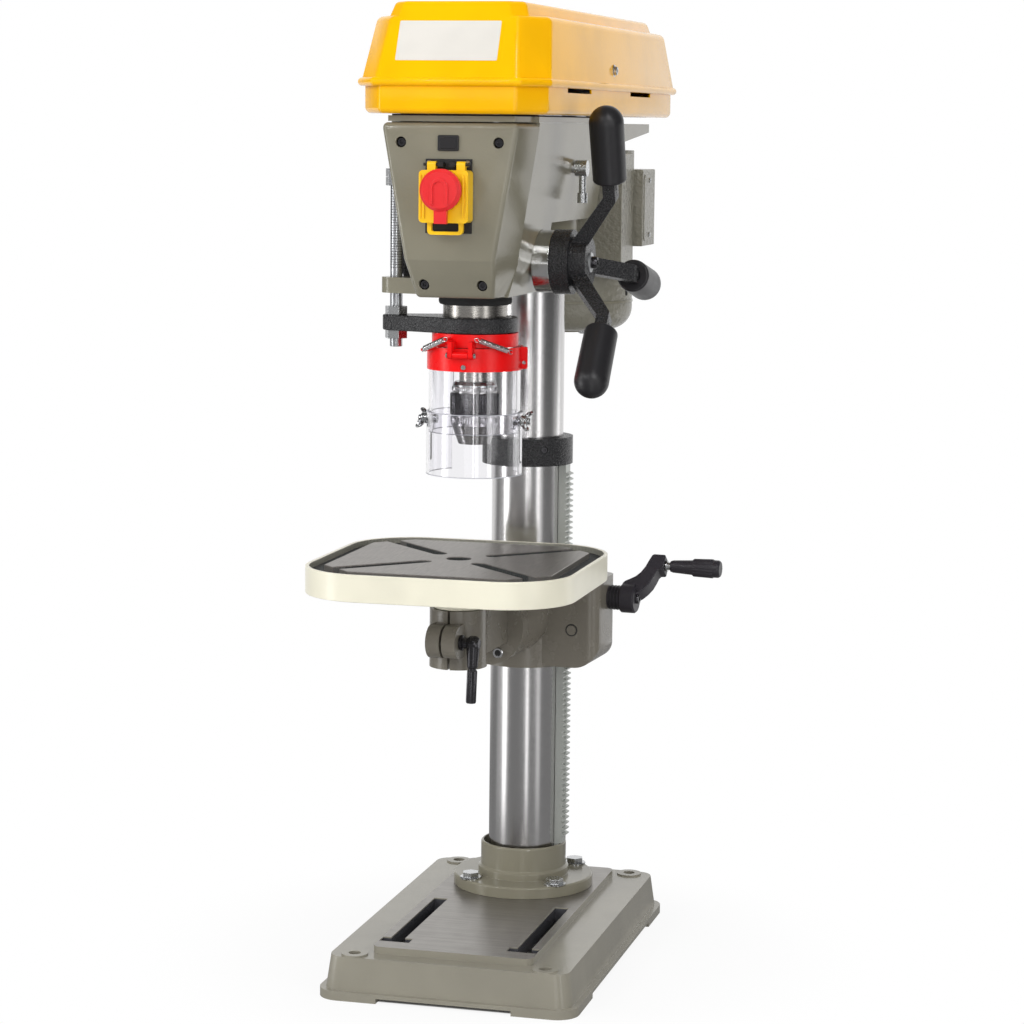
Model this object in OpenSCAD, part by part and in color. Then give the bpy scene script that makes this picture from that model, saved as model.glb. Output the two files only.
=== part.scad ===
// Benchtop drill press: cast base, round column, geared tilting table, sliding quill and belt-driven spindle.
// Millimetres, +Z up, -Y is the operator's side. The origin is the middle of the foot on the bench.

/* [Base] */
// Width of the foot on the bench
base_w = 258; // [240:1:300]
// Depth of the foot on the bench
base_d = 417; // [404:1:450]
// Height of the rim above the bench
base_h = 41; // [36:1:46]
// Corner radius of the foot
base_r = 22; // [18:1:28]
// Height of the spread lip
lip_h = 9; // [7:1:12]
// Step from the lip in to the wall
lip_step = 6; // [4:1:8]
// Inward lean of the wall over its height
base_draft = 4; // [2:1:6]
// Thickness of the casting's walls and skin
base_wall = 8; // [7:0.5:11]
// Height of the machined plate above the rim
plate_h = 7; // [5:1:10]
// Plate edge in from the side of the foot
plate_side = 49; // [44:1:54]
// Plate edge in from the front and rear of the foot
plate_end = 30; // [26:1:34]
// Bench bolt hole
bench_hole_d = 12; // [9:0.5:13]
// Bench bolts in from the side of the foot
bench_side = 34; // [30:1:38]
// Bench bolts in from the front and rear of the foot
bench_end = 22.5; // [20:0.5:26]
// Height of the relief between the feet
relief_h = 5; // [3:0.5:6]
// Width of a foot along the front
foot_w = 62; // [56:1:80]
// Length of a foot along the side
foot_d = 78; // [66:1:100]
// Distance between the clamping slots
slot_gap = 128; // [110:1:138]
// Width of a clamping slot
slot_w = 14; // [10:1:18]
// Length of a clamping slot
slot_l = 166; // [120:1:168]
// Width of the slot's cross at the front
cross_w = 30; // [24:1:34]
// Depth of the slot's cross
cross_d = 14; // [10:1:18]
// Slot front end in from the front of the foot
slot_end = 51; // [46:1:62]

/* [Column] */
// Column diameter
col_d = 73; // [70:0.5:76]
// Column tube wall
col_wall = 5; // [4:0.5:7]
// Column axis in from the rear of the foot
col_back = 110.5; // [102:0.5:114]
// Radius of the flange
flange_r = 73; // [72:1:78]
// Thickness of the flange
flange_t = 12; // [10:1:15]
// Wall of the flange's socket
socket_wall = 8; // [8:0.5:9]
// Height of the socket above the plate
socket_h = 46; // [40:1:54]
// Hex bolt across its flats
hex_af = 16; // [13:1:16]
// Hex bolt head height
hex_h = 6.4; // [5:0.2:8]
// Lower end of the rack collar above the bench
collar_z = 493; // [488:1:500]
// Height of the rack collar
collar_h = 28; // [24:1:30]
// Wall of the rack collar
collar_wall = 10; // [8.5:0.5:11]

/* [Table] */
// Throat: column axis to spindle axis
throat = 209; // [204:1:214]
// Side of the square table
table_w = 263; // [250:1:266]
// Corner radius of the table
table_r = 68; // [60:1:72]
// Height of the table top above the bench
table_z = 421; // [418:1:424]
// Height of the table rim
rim_h = 26; // [22:1:28]
// Thickness of the table plate and rim wall
table_t = 12; // [10:0.5:14]
// Width of the rim's lip
rim_lip = 4; // [3:0.5:6]
// Width of the coolant trough
trough_w = 16; // [12:1:20]
// Depth of the coolant trough
trough_h = 6; // [4:0.5:8]
// Width of the diagonal slots
table_slot_w = 14; // [10:1:16]
// Inner end of the diagonal slots from the table axis
table_slot_in = 38; // [32:1:46]
// Hole in the middle of the table
table_hole_d = 24; // [18:1:28]
// Table stem in the split arm
stem_d = 32; // [28:1:34]
// Angle of the bracket away from straight ahead
swing_rest = 4; // [0:0.5:8]
// Table top above the tilt axis
tilt_drop = 81; // [79:1:83]
// Radius of the tilt faces
tilt_r = 38; // [36:1:39]
// Tilt faces out from the column axis
tilt_out = 106; // [102:1:112]
// Tilt bolt diameter
tilt_bolt_d = 16; // [12:1:18]
// Outside radius of the split boss
boss_r = 28; // [26:1:30]
// Height of the split boss
boss_h = 57; // [52:1:60]
// Width of the slit in the boss
slit_w = 2.5; // [1.5:0.5:4]
// Clamp stud diameter
stud_d = 10; // [8:1:11]

/* [Lift] */
// Height of the bracket's sleeve
sleeve_h = 90; // [84:1:94]
// Wall of the bracket's sleeve
sleeve_wall = 14; // [12:0.5:15]
// Tooth module of the rack and the lift gear
lift_m = 1.8; // [1.7:0.05:1.9]
// Teeth on the lift gear
lift_n = 18; // [18:4:22]
// Thickness of the lift gear
gear_w = 13; // [10:1:14]
// Rack width
rack_w = 15; // [12:1:16]
// Rack thickness from the column to the tooth roots
rack_t = 7.4; // [7:0.2:8]
// Worm core radius
worm_r = 12.6; // [12.4:0.1:12.8]
// Crank shaft diameter
crank_shaft_d = 16; // [12:1:18]
// Crank radius
crank_r = 40; // [36:1:46]
// Crank grip length
crank_grip_l = 53; // [46:1:60]
// Crank grip diameter at its free end
crank_grip_d = 18; // [16:1:20]

/* [Head] */
// Underside of the head above the bench
head_z = 677; // [672:1:684]
// Height of the head
head_h = 163; // [158:1:170]
// Lower edge of the side panels above the underside
panel_h = 67; // [65:1:70]
// Half width of the head at its top
head_top_w = 72; // [70:1:74]
// Half width of the head at the panels' lower edge
head_low_w = 56; // [55:1:58]
// Half width of the head at its underside
head_foot_w = 43; // [41:1:45]
// Head casting wall
head_wall = 9; // [7:0.5:11]
// Seam of the front cover ahead of the spindle axis
seam_out = 41; // [40:1:44]
// Front cover's face ahead of the seam
cover_out = 54; // [50:1:58]
// Half width of the cover's face at its top
face_top_w = 65; // [62:1:67]
// Half width of the cover's face at its crease
face_low_w = 44; // [43:1:46]
// Height of the crease above the underside
crease_h = 38; // [34:1:42]
// Lower edge of the cover back from its face
chin_back = 21; // [18:1:26]
// Cover wall
cover_wall = 5; // [4:0.5:6]
// Edge radius of the cover
cover_r = 5; // [4:0.5:6]
// Cover screw recess
cover_hole_d = 10; // [8:0.5:11]

/* [Switch] */
// Width of the switch plate
plate_sw_w = 44; // [42:1:50]
// Height of the switch plate
plate_sw_h = 68; // [66:1:72]
// Middle of the switch plate above the underside of the head
plate_sw_z = 95; // [93:1:97]
// Switch plate thickness
plate_sw_t = 2; // [1.5:0.5:3]
// Width of the flap
flap_w = 47; // [45:1:52]
// Height of the flap
flap_h = 48; // [46:1:50]
// Depth of the flap
flap_d = 17; // [15:1:20]
// Stop knob diameter
knob_d = 39; // [36:1:42]
// Button diameter
button_d = 14; // [12:1:15]

/* [Quill and feed] */
// Quill diameter
quill_d = 62; // [60:0.5:64]
// Quill end below the head
quill_out = 51; // [49:1:53]
// Quill length
quill_l = 190; // [180:1:194]
// Spindle diameter
spindle_d = 20; // [16:1:22]
// Feed shaft axis behind the spindle axis
feed_back = 38; // [38:0.5:39]
// Feed shaft axis above the underside of the head
feed_up = 31; // [31:0.5:33]
// Tooth module of the feed rack and pinion
feed_m = 2; // [1.9:0.05:2.05]
// Teeth on the feed pinion
feed_n = 14; // [12:2:14]
// Feed shaft diameter
feed_shaft_d = 16; // [14:1:16]
// Radius of the bright feed boss
feed_boss_r = 30; // [28:1:32]
// Outer end of the feed boss from the middle
feed_boss_x = 69; // [66:1:72]
// Distance of the grip middles from the feed axis
grip_out = 117; // [112:1:124]
// Grip diameter
grip_d = 33; // [30:1:36]
// Grip length
grip_l = 74; // [68:1:80]
// Slope of the arms away from the head
arm_slope = 40; // [34:1:46]
// Angle of the first arm forward of upright
arm_rest = 19; // [0:1:40]
// Depth rod diameter
rod_d = 12; // [10:1:13]
// Depth rod from the spindle axis
rod_x = 79; // [78:1:82]
// Depth rod length
rod_l = 172; // [160:1:176]
// Depth arm thickness
arm_t = 15; // [13:1:16]

/* [Chuck and guard] */
// Chuck sleeve diameter
chuck_d = 46; // [45:0.5:47]
// Chuck nose below the quill
nose_out = 92; // [90:1:94]
// Capacity of the chuck
chuck_cap = 16; // [13:1:16]
// Jaw diameter
jaw_d = 7; // [6:0.5:7]
// Jaw angle to the axis
jaw_tilt = 15; // [13:1:16]
// Jaw length
jaw_l = 22; // [20:1:23]
// Inside diameter of the clear shield
shield_d = 84; // [83:1:88]
// Shield wall
shield_t = 2; // [1.5:0.25:2.5]
// Rear gap of the shield, degrees
shield_gap = 90; // [80:5:110]
// Height of the red band
band_h = 22; // [20:1:24]
// Upper shield below the quill's end
shield_low = 80; // [76:1:84]
// Extension's lower edge below the quill's end
ext_low = 121; // [118:1:124]
// Extension length
ext_h = 60; // [54:1:62]
// Curls of each guard spring
spring_curls = 18; // [12:1:19]
// Wire diameter of the guard springs
spring_wire = 1; // [0.8:0.1:1.1]
// Middle diameter of the guard springs
spring_d = 5; // [4.5:0.1:5.5]

/* [Drive] */
// Pulley steps
steps = 4; // [4:1:4]
// Height of a pulley step
step_h = 16; // [15:0.5:16]
// Largest step of the spindle pulley, radius
spindle_step = 64; // [60:1:66]
// Largest step of the idler pulley, radius
idler_step = 48; // [44:1:52]
// Largest step of the motor pulley, radius
motor_step = 46; // [44:1:48]
// Change of radius from step to step
step_dr = 8; // [7:0.5:8]
// Depth of a pulley groove
groove_h = 9; // [8:0.5:10]
// Idler axis behind the spindle axis
idler_back = 134; // [130:1:138]
// Motor axis behind the column axis
motor_back = 165; // [163:1:168]
// Motor radius
motor_r = 70; // [67:1:70]
// Motor underside below the head's underside
motor_low = 56; // [50:1:60]
// Edge radius of the motor's lower end
motor_round = 24; // [18:1:30]
// Half width of the motor plate
motor_plate_w = 77; // [75:1:80]
// Slide bar diameter
bar_d = 16; // [14:1:16]
// Slide bars from the middle
bar_x = 52; // [51:1:53]
// Gap between head and belt guard
guard_gap = 7; // [5:0.5:9]
// Half width of the guard pan
pan_w = 88; // [86:1:90]
// Guard pan front ahead of the spindle axis
pan_front = 105; // [100:1:110]
// Guard pan length
pan_l = 619; // [605:1:630]
// Guard pan height
pan_h = 28; // [24:1:32]
// Slanted corner of the guard across its width
corner_in = 20; // [16:1:24]
// Slanted corner of the guard along its length
corner_l = 27; // [22:1:34]
// Sheet thickness of the guard
sheet = 2; // [1.5:0.25:2.5]
// Lid rim beyond the pan
lid_lip = 5; // [4.5:0.5:6]
// Height of the lid to its shoulders
lid_h = 60; // [58:1:66]
// Lean of the lid's sides
lid_lean = 6; // [4:1:8]
// Lean of the lid's ends
lid_rake = 25; // [20:1:30]
// Height of the crown above the shoulders
crown_h = 13; // [10:1:16]
// Half width of the crown
crown_w = 69; // [64:1:72]
// Slanted corner of the crown
crown_corner = 10; // [7:1:14]
// Edge radius of the lid's shoulders
lid_r = 8; // [6:0.5:9]
// Edge radius of the crown
crown_r = 6; // [4:0.5:7]
// Edge radius of the pan's floor
pan_r = 6; // [4:0.5:7]

/* [Hidden] */
$fn = 64;
run_fit = 0.05;
slip = 0.3;
press_a = 20;
thread_d = 10;

col_r = col_d / 2;
col_y = base_d / 2 - col_back;
spin_y = col_y - throat;
plate_z = base_h + plate_h;
bench_x = base_w / 2 - bench_side;
bench_y = base_d / 2 - bench_end;
socket_r = col_r + socket_wall;
flange_step_r = socket_r + 3;
flange_top = plate_z + flange_t;
socket_z = plate_z + socket_h;
tongue_r = col_r + 4.2;
tongue_h = 9;
tongue_play = 0.5;
tongue_pocket = norm([tongue_r, rack_w / 2]) + slip;
flange_bolt_r = flange_r - hex_af / sqrt(3) - slip;
collar_top = collar_z + collar_h;

tilt_z = table_z - tilt_drop;
boss_top = table_z - rim_h - 22;
boss_low = boss_top - boss_h;
stud_y = -throat - boss_r - stud_d / 2 - 4;
stud_z = tilt_z + 5.5;
ear_x = 15;
table_at = [-throat * sin(swing_rest), col_y - throat * cos(swing_rest), 0];

lift_pitch = PI * lift_m;
lift_add = 0.83 * lift_m;
lift_ded = 1.12 * lift_m;
gear_r = lift_m * lift_n / 2;
rack_in = col_r + slip;
rack_root = col_r + rack_t;
rack_line = rack_root + lift_ded;
rack_low = socket_z + tongue_play;
rack_high = collar_z - tongue_play;
gear_x = rack_line + gear_r;
gear_z = tilt_z - 13;
worm_ecc = 1.6;
worm_z = gear_z + gear_r + worm_r + 1.2;
worm_in = rack_root + lift_ded + lift_add + 1.2;
worm_out = gear_x + 18;
box_out = worm_out + 10;
box_front = -40;
box_back = 24;
box_r = 26;
sleeve_r = col_r + sleeve_wall;
sleeve_low = tilt_z - 54;
sleeve_top = sleeve_low + sleeve_h;
box_low = sleeve_low + 2;
box_top = worm_z + worm_r + worm_ecc + 8;
crank_in = box_out + slip;
crank_hub = crank_in + 13;
crank_face = crank_hub + 16;
crank_rise = 30;
crank_lean = 37;
grip_in = crank_hub + crank_rise + 15;
clamp_y = sleeve_r + 14;

head_top = head_z + head_h;
panel_z = head_z + panel_h;
seam_y = spin_y - seam_out;
face_y = seam_y - cover_out;
quill_r = quill_d / 2;
quill_low = head_z - quill_out;
quill_top = quill_low + quill_l;
spindle_r = spindle_d / 2;
feed_y = spin_y + feed_back;
feed_z = head_z + feed_up;
pinion_r = feed_m * feed_n / 2;
feed_line = feed_back - pinion_r;
feed_add = 0.7 * feed_m;
feed_ded = 1.1 * feed_m;
pinion_add = 0.85 * feed_m;
pinion_w = 20;
pinion_bore = pinion_r + pinion_add + 0.5;
spigot_x = sqrt(pow(quill_r, 2) - pow(feed_back - pinion_bore, 2)) + 2 * slip;
feed_side = 52;
housing_x = -78;
rod_nut_af = rod_d * 1.6;
housing_r = feed_back - rod_nut_af / 2 - 2;
housing_wall = 4;
ring_x = feed_boss_x + slip;
hub_x = ring_x + 17;
hub_t = 17;
column_top = head_top - head_wall - 6;
head_back = col_y + col_r + 12;
ear_top = head_z + 15;
arm_low = quill_low + 15;
arm_top = arm_low + arm_t;
clamp_r = quill_r + 9.5;
rod_low = arm_low - 16;
nut_h = 8;
stop_z = rod_low + rod_l - 2 * nut_h - 2;

nose_z = quill_low - nose_out;
sleeve_z = nose_z + 28;
chuck_top = nose_z + 60;
band_z = quill_low + 2 - band_h;
shield_r = shield_d / 2;
shield_out = shield_r + shield_t;
band_r = shield_out + 2;
ext_r = shield_out + slip;
ext_out = ext_r + shield_t;
mount_r = 41.5;
pin_y = band_r + 5;
pin_z = quill_low - 4;
nut_z = quill_low - ext_low + ext_h - 8;
hinge_r = 3.5;

plate_mid = head_z + plate_sw_z;
plate_face = face_y - plate_sw_t;
flap_top = plate_mid + 24;
flap_low = flap_top - flap_h;
flap_face = plate_face - flap_d;
flap_hinge_z = flap_top + 5;
flap_hinge_y = plate_face - 6;
knob_z = plate_mid + 6;

pan_z = head_top + guard_gap;
pan_top = pan_z + pan_h;
pan_y0 = spin_y - pan_front;
pan_mid = pan_y0 + pan_l / 2;
lid_z = pan_top - 3;
shoulder_z = lid_z + lid_h + 5;
crown_z = shoulder_z + crown_h;
vent_l = 98;
vent_ys = [spin_y + 1, col_y + 67];
lid_edge = 2;
round_steps = 24;
rim_r = 4;
lid_hinge_x = -(pan_w + lid_lip + 6);
lid_hinge_ys = [pan_mid - 150, pan_mid + 150];
pulley_z = pan_z + sheet + 8;
idler_y = spin_y + idler_back;
motor_y = col_y + motor_back;
motor_z = head_z - motor_low;
motor_top = head_top - 28;
motor_front = motor_y - motor_r;
bar_z = head_top - 44;
lock_y = col_y - 84;
lock_r = 5;
lock_x = head_top_w - 3;
bar_in = lock_y - 22;
motor_travel = 12;
plate_wing = 46;
rear_arm = 72;
shaft_r = 8;
rotor_r = motor_r / 2;
rotor_low = motor_z + 55;
rotor_high = motor_top - 55;
motor_wall = 6;
spindle_steps = [for (i = [0:steps - 1]) spindle_step - i * step_dr];
idler_steps = [for (i = [0:steps - 1]) idler_step - (steps - 1 - i) * step_dr];
motor_steps = [for (i = [0:steps - 1]) motor_step - i * step_dr];
pulley_top = pulley_z + steps * step_h;
hub_r = spindle_r + 6;

// Round bars along each axis, from one end to the other
module bar_x(r, from, to) translate([from, 0, 0]) rotate([0, 90, 0]) cylinder(r = r, h = to - from);
module bar_y(r, from, to) translate([0, from, 0]) rotate([-90, 0, 0]) cylinder(r = r, h = to - from);
module bar_z(r, from, to) translate([0, 0, from]) cylinder(r = r, h = to - from);

// Hexagon along Z, sized across its flats
module hex_z(af, from, to) translate([0, 0, from]) cylinder(r = af / sqrt(3), h = to - from, $fn = 6);

// Box between two corners
module block(low, high) translate(low) cube(high - low);

// Outline in X and Z swept along Y
module sweep_y(from, to) translate([0, to, 0]) rotate([90, 0, 0]) linear_extrude(to - from) children();

// Outline in Y and Z swept along X
module sweep_x(from, to) translate([from, 0, 0]) rotate([90, 0, 90]) linear_extrude(to - from) children();

// Rectangle with round corners
module rounded(w, d, r) {
    square([w - 2 * r, d], center = true);
    square([w, d - 2 * r], center = true);
    for (sx = [-1, 1], sy = [-1, 1]) translate([sx * (w / 2 - r), sy * (d / 2 - r)]) circle(r);
}

module at_column() translate([0, col_y, 0]) children();
module at_spindle() translate([0, spin_y, 0]) children();
module at_feed() translate([0, feed_y, feed_z]) children();
module at_bracket() at_column() rotate([0, 0, -swing_rest]) children();
module both_sides() for (s = [0, 1]) mirror([s, 0, 0]) children();

// Involute spur gear outline with a tooth on the +X axis
function involute(a) = tan(a) * 180 / PI - a;
function polar(r, a) = [r * cos(a), r * sin(a)];
function gear_outline(m, n, add, ded, play) =
    let (rp = m * n / 2, rb = rp * cos(press_a), half = 90 / n - play / rp * 180 / PI, k = 4)
    let (rs = [for (i = [0:k]) rb + (rp + add - rb) * i / k])
    let (as = [for (r = rs) half + involute(press_a) - involute(acos(rb / r))])
    [for (t = [0:n - 1]) let (c = 360 * t / n)
        each concat([polar(rp - ded, c - as[0])], [for (i = [0:k]) polar(rs[i], c - as[i])],
            [for (i = [k:-1:0]) polar(rs[i], c + as[i])], [polar(rp - ded, c + as[0])])];

// Rack edge as [height, offset] points: a gap lies at middle, root at offset -ded and tip at +add
function rack_edge(m, add, ded, play, low, high, middle) =
    let (p = PI * m, at_tip = p / 4 - add * tan(press_a) - play, at_root = p / 4 + ded * tan(press_a) - play)
    [for (i = [ceil((low - middle) / p - 0.5):floor((high - middle) / p - 0.5)])
        let (c = middle + (i + 0.5) * p)
        each [[c - at_root, -ded], [c - at_tip, add], [c + at_tip, add], [c + at_root, -ded]]];

// Cast base
module base_casting() {
    top = [base_w - 2 * lip_step, base_d - 2 * lip_step];
    color("#8a8674") difference() {
        union() {
            linear_extrude(lip_h) rounded(base_w, base_d, base_r);
            translate([0, 0, lip_h]) linear_extrude(base_h - lip_h, slices = 1, $fn = 32,
                scale = [1 - 2 * base_draft / top[0], 1 - 2 * base_draft / top[1]])
                rounded(top[0], top[1], base_r - lip_step);
            translate([0, 0, base_h]) linear_extrude(plate_h) difference() {
                rounded(base_w - 2 * plate_side, base_d - 2 * plate_end, 8);
                for (sx = [-1, 1], sy = [-1, 1]) translate([sx * bench_x, sy * bench_y])
                    circle(bench_hole_d + 7);
            }
            for (sx = [-1, 1], sy = [-1, 1]) translate([sx * bench_x, sy * bench_y, 0])
                bar_z(bench_hole_d + 1, lip_h, base_h + 1.5);
        }
        translate([0, 0, -1]) linear_extrude(base_h - base_wall + 1) difference() {
            rounded(top[0] - 2 * base_draft - 2 * base_wall, top[1] - 2 * base_draft - 2 * base_wall, 12);
            for (sx = [-1, 1], sy = [-1, 1]) translate([sx * bench_x, sy * bench_y]) circle(bench_hole_d + 5);
        }
        block([-base_w / 2 + foot_w, -base_d, -1], [base_w / 2 - foot_w, base_d, relief_h]);
        block([-base_w, -base_d / 2 + foot_d, -1], [base_w, base_d / 2 - foot_d, relief_h]);
        for (sx = [-1, 1], sy = [-1, 1]) translate([sx * bench_x, sy * bench_y, 0])
            bar_z(bench_hole_d / 2, -1, plate_z + 1);
        for (sx = [-1, 1]) translate([sx * slot_gap / 2, -base_d / 2 + slot_end, 0]) {
            block([-slot_w / 2, 0, 0], [slot_w / 2, slot_l, plate_z + 1]);
            block([-cross_w / 2, 0, 0], [cross_w / 2, cross_d, plate_z + 1]);
        }
        flange_pattern() bar_z(thread_d / 2 + run_fit, 0, plate_z + 1);
    }
}

module flange_pattern() at_column()
    for (a = [45:90:315]) rotate(a) translate([flange_bolt_r, 0, 0]) children();

module column_flange() {
    bore = col_r + run_fit;
    color("#8a8674") difference() {
        at_column() rotate_extrude() polygon([[bore, plate_z], [flange_r, plate_z], [flange_r,
            flange_top - 1.5],
            [flange_r - 1.5, flange_top], [flange_step_r, flange_top], [flange_step_r, flange_top + 7],
            [socket_r, flange_top + 9], [socket_r, socket_z - 1.5], [socket_r - 1.5, socket_z],
            [tongue_pocket, socket_z], [tongue_pocket, socket_z - tongue_h], [bore, socket_z - tongue_h]]);
        flange_pattern() bar_z(thread_d / 2 + run_fit, plate_z - 1, flange_top + 1);
    }
}

module flange_bolts() color("#c9ccd0") flange_pattern() {
    hex_z(hex_af, flange_top, flange_top + hex_h);
    bar_z(thread_d / 2, base_h - base_wall + 1, flange_top + 1);
}

module column_tube() color("#a8aaad") at_column() difference() {
    bar_z(col_r, plate_z, column_top);
    bar_z(col_r - col_wall, plate_z - 1, column_top + 1);
}

module rack_collar() color("#2c2d30") at_bracket() difference() {
    bar_z(col_r + collar_wall, collar_z, collar_top);
    bar_z(col_r + run_fit, collar_z - 1, collar_top + 1);
    bar_z(tongue_pocket, collar_z - 1, collar_z + tongue_h);
    rotate(-50) translate([0, 0, collar_z + collar_h * 0.6]) bar_x(3.5, col_r, col_r + collar_wall + 1);
}

// Rack bar with a tongue at each end, held under the collar and in the flange socket
module lift_rack() {
    edge = rack_edge(lift_m, lift_add, lift_ded, 0.25, rack_low + 8, rack_high - 8, gear_z);
    tongue_low = socket_z - tongue_h + tongue_play;
    tongue_high = collar_z + tongue_h - tongue_play;
    outline = concat([[tongue_r, tongue_low], [tongue_r, rack_low], [rack_root, rack_low]],
        [for (p = edge) [rack_line + p[1], p[0]]],
        [[rack_root, rack_high], [tongue_r, rack_high], [tongue_r, tongue_high], [0, tongue_high], [0,
            tongue_low]]);
    color("#b9bfb6") at_bracket() difference() {
        sweep_y(-rack_w / 2, rack_w / 2) polygon(outline);
        bar_z(rack_in, tongue_low - 1, tongue_high + 1);
    }
}

// Sleeve on the column with the tilt face in front and the gearbox on the right
module table_bracket() {
    gap = 0.5;
    color("#7c7867") at_bracket() difference() {
        union() {
            bar_z(sleeve_r, sleeve_low, sleeve_top);
            translate([0, 0, tilt_z]) bar_y(tilt_r, -tilt_out, 0);
            intersection() {
                sweep_y(box_front, box_back) {
                    translate([0, box_low]) square([box_out - box_r, box_top - box_low]);
                    translate([0, box_low + box_r]) square([box_out, box_top - box_low - box_r]);
                    translate([box_out - box_r, box_low + box_r]) circle(box_r);
                }
                translate([0, (box_front + box_back) / 2, box_low]) linear_extrude(box_top - box_low)
                    rounded(2 * box_out, box_back - box_front, box_r / 2);
            }
            translate([0, 0, sleeve_low + sleeve_h / 2]) bar_y(14, 0, clamp_y);
        }
        bar_z(col_r + 2 * run_fit, sleeve_low - 1, box_top + 1);
        block([0, -rack_w / 2 - gap, sleeve_low - 1], [rack_line + lift_add + gap, rack_w / 2 + gap,
            box_top + 1]);
        translate([gear_x, 0, gear_z]) bar_y(gear_r + lift_add + gap, -gear_w / 2 - gap, gear_w / 2 + gap);
        translate([0, 0, worm_z]) bar_x(worm_r + worm_ecc + gap, rack_root, worm_out + gap);
        translate([0, 0, worm_z]) bar_x(crank_shaft_d / 2 + run_fit, worm_out, box_out + 1);
        translate([gear_x, 0, gear_z]) bar_y(thread_d / 2, box_front - 1, box_back - 6);
        translate([0, 0, tilt_z]) bar_y(tilt_bolt_d / 2, -tilt_out - 1, -col_r);
        translate([0, 0, sleeve_low + sleeve_h / 2]) bar_y(stud_d / 2 + run_fit, 0, clamp_y + 1);
    }
}

// Gear pin, and the tilt bolt with its hex head in the arm's pocket
module bracket_pins() color("#b4b7ba") at_bracket() {
    translate([gear_x, 0, gear_z]) bar_y(thread_d / 2, box_front - 0.8, box_back - 6);
    translate([0, 0, tilt_z]) {
        bar_y(tilt_bolt_d / 2, -tilt_out - 32, -col_r - 2);
        rotate([90, 0, 0]) hex_z(tilt_bolt_d * 1.5, tilt_out + 32, tilt_out + 42);
    }
}

// Locking screw behind the sleeve, with its lever hanging down
module column_clamp() color("#26272a") at_bracket() translate([0, 0, sleeve_low + sleeve_h / 2]) {
    bar_y(stud_d / 2, col_r + slip, clamp_y + 4);
    bar_y(9, clamp_y + slip, clamp_y + 17);
    translate([0, clamp_y + 9, 0]) rotate([190, 0, 0]) {
        bar_z(4, 0, 60);
        bar_z(5.5, 34, 62);
    }
}

module lift_gear() color("#8d9196") at_bracket() translate([gear_x, 0, gear_z]) difference() {
    sweep_y(-gear_w / 2, gear_w / 2) polygon(gear_outline(lift_m, lift_n, lift_add, lift_ded, 0.25));
    bar_y(thread_d / 2 + run_fit, -gear_w, gear_w);
}

// Worm over the lift gear, on the crank's shaft
module worm_shaft() {
    length = worm_out - worm_in;
    color("#8d9196") at_bracket() translate([0, 0, worm_z]) {
        translate([worm_in, 0, 0]) rotate([0, 90, 0]) rotate(-360 * (gear_x - worm_in) / lift_pitch)
            linear_extrude(length, twist = -360 * length / lift_pitch, slices = 54, segments = 16)
            translate([worm_ecc, 0]) circle(worm_r, $fn = 16);
        bar_x(crank_shaft_d / 2, worm_in + 1, crank_face - 3);
    }
}

// Hub, dog-leg arm and grip pin
module crank_arm() {
    end = [0, crank_r * sin(crank_lean), crank_r * cos(crank_lean)];
    color("#232428") at_bracket() translate([0, 0, worm_z]) difference() {
        union() {
            bar_x(12, crank_in, crank_hub + 1);
            bar_x(15, crank_hub, crank_face);
            hull() {
                bar_x(11, crank_hub + 3, crank_face - 2, $fn = 32);
                translate(end * 0.45) bar_x(9, crank_hub + 9, crank_hub + 19, $fn = 32);
            }
            hull() {
                translate(end * 0.45) bar_x(9, crank_hub + 9, crank_hub + 19, $fn = 32);
                translate(end) bar_x(9, crank_hub + crank_rise - 6, crank_hub + crank_rise + 6, $fn = 32);
            }
            translate(end) bar_x(9, crank_hub + crank_rise - 6, crank_hub + crank_rise + 6);
            translate(end) bar_x(4, crank_hub + crank_rise, grip_in + crank_grip_l - 4);
            translate(end) bar_x(6.5, crank_hub + crank_rise + 6, grip_in - slip);
        }
        bar_x(crank_shaft_d / 2, crank_in - 1, crank_face - 3);
    }
}

module crank_grip() {
    r = crank_grip_d / 2;
    at = [grip_in, crank_r * sin(crank_lean), worm_z + crank_r * cos(crank_lean)];
    color("#232428") at_bracket() translate(at) rotate([0, 90, 0]) rotate_extrude()
        polygon([[4 + run_fit, 0], [r - 3.5, 0], [r - 2.6, 3], [r - 1, crank_grip_l * 0.55], [r,
            crank_grip_l - 8],
            [r, crank_grip_l - 2], [r - 1.5, crank_grip_l], [0, crank_grip_l], [0, crank_grip_l - 3],
            [4 + run_fit, crank_grip_l - 3]]);
}

// Tilting arm with the split boss
module table_arm() color("#7c7867") at_bracket() difference() {
    union() {
        translate([0, 0, tilt_z]) bar_y(tilt_r, -tilt_out - 18, -tilt_out - slip);
        block([-22, -throat, tilt_z - 14], [22, -tilt_out - 10, boss_top - 4]);
        translate([0, -throat, 0]) bar_z(boss_r, boss_low, boss_top);
        block([-ear_x, stud_y, stud_z - 16], [ear_x, -throat - boss_r / 2, stud_z + 16]);
        translate([0, stud_y, stud_z]) bar_x(16, -ear_x, ear_x);
    }
    translate([0, -throat, 0]) bar_z(stem_d / 2 + run_fit, boss_low - 1, boss_top + 1);
    block([-slit_w / 2, -throat - boss_r - 60, boss_low - 1], [slit_w / 2, -throat, boss_top + 1]);
    translate([0, stud_y, stud_z]) bar_x(stud_d / 2 + run_fit, -ear_x - 1, ear_x + 1);
    translate([0, 0, tilt_z]) bar_y(tilt_bolt_d / 2 + run_fit, -tilt_out - 40, -tilt_out + 1);
    block([-tilt_bolt_d, -tilt_out - 50, boss_low - 1], [tilt_bolt_d, -tilt_out - 31.5,
        tilt_z + tilt_bolt_d]);
}

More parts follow.
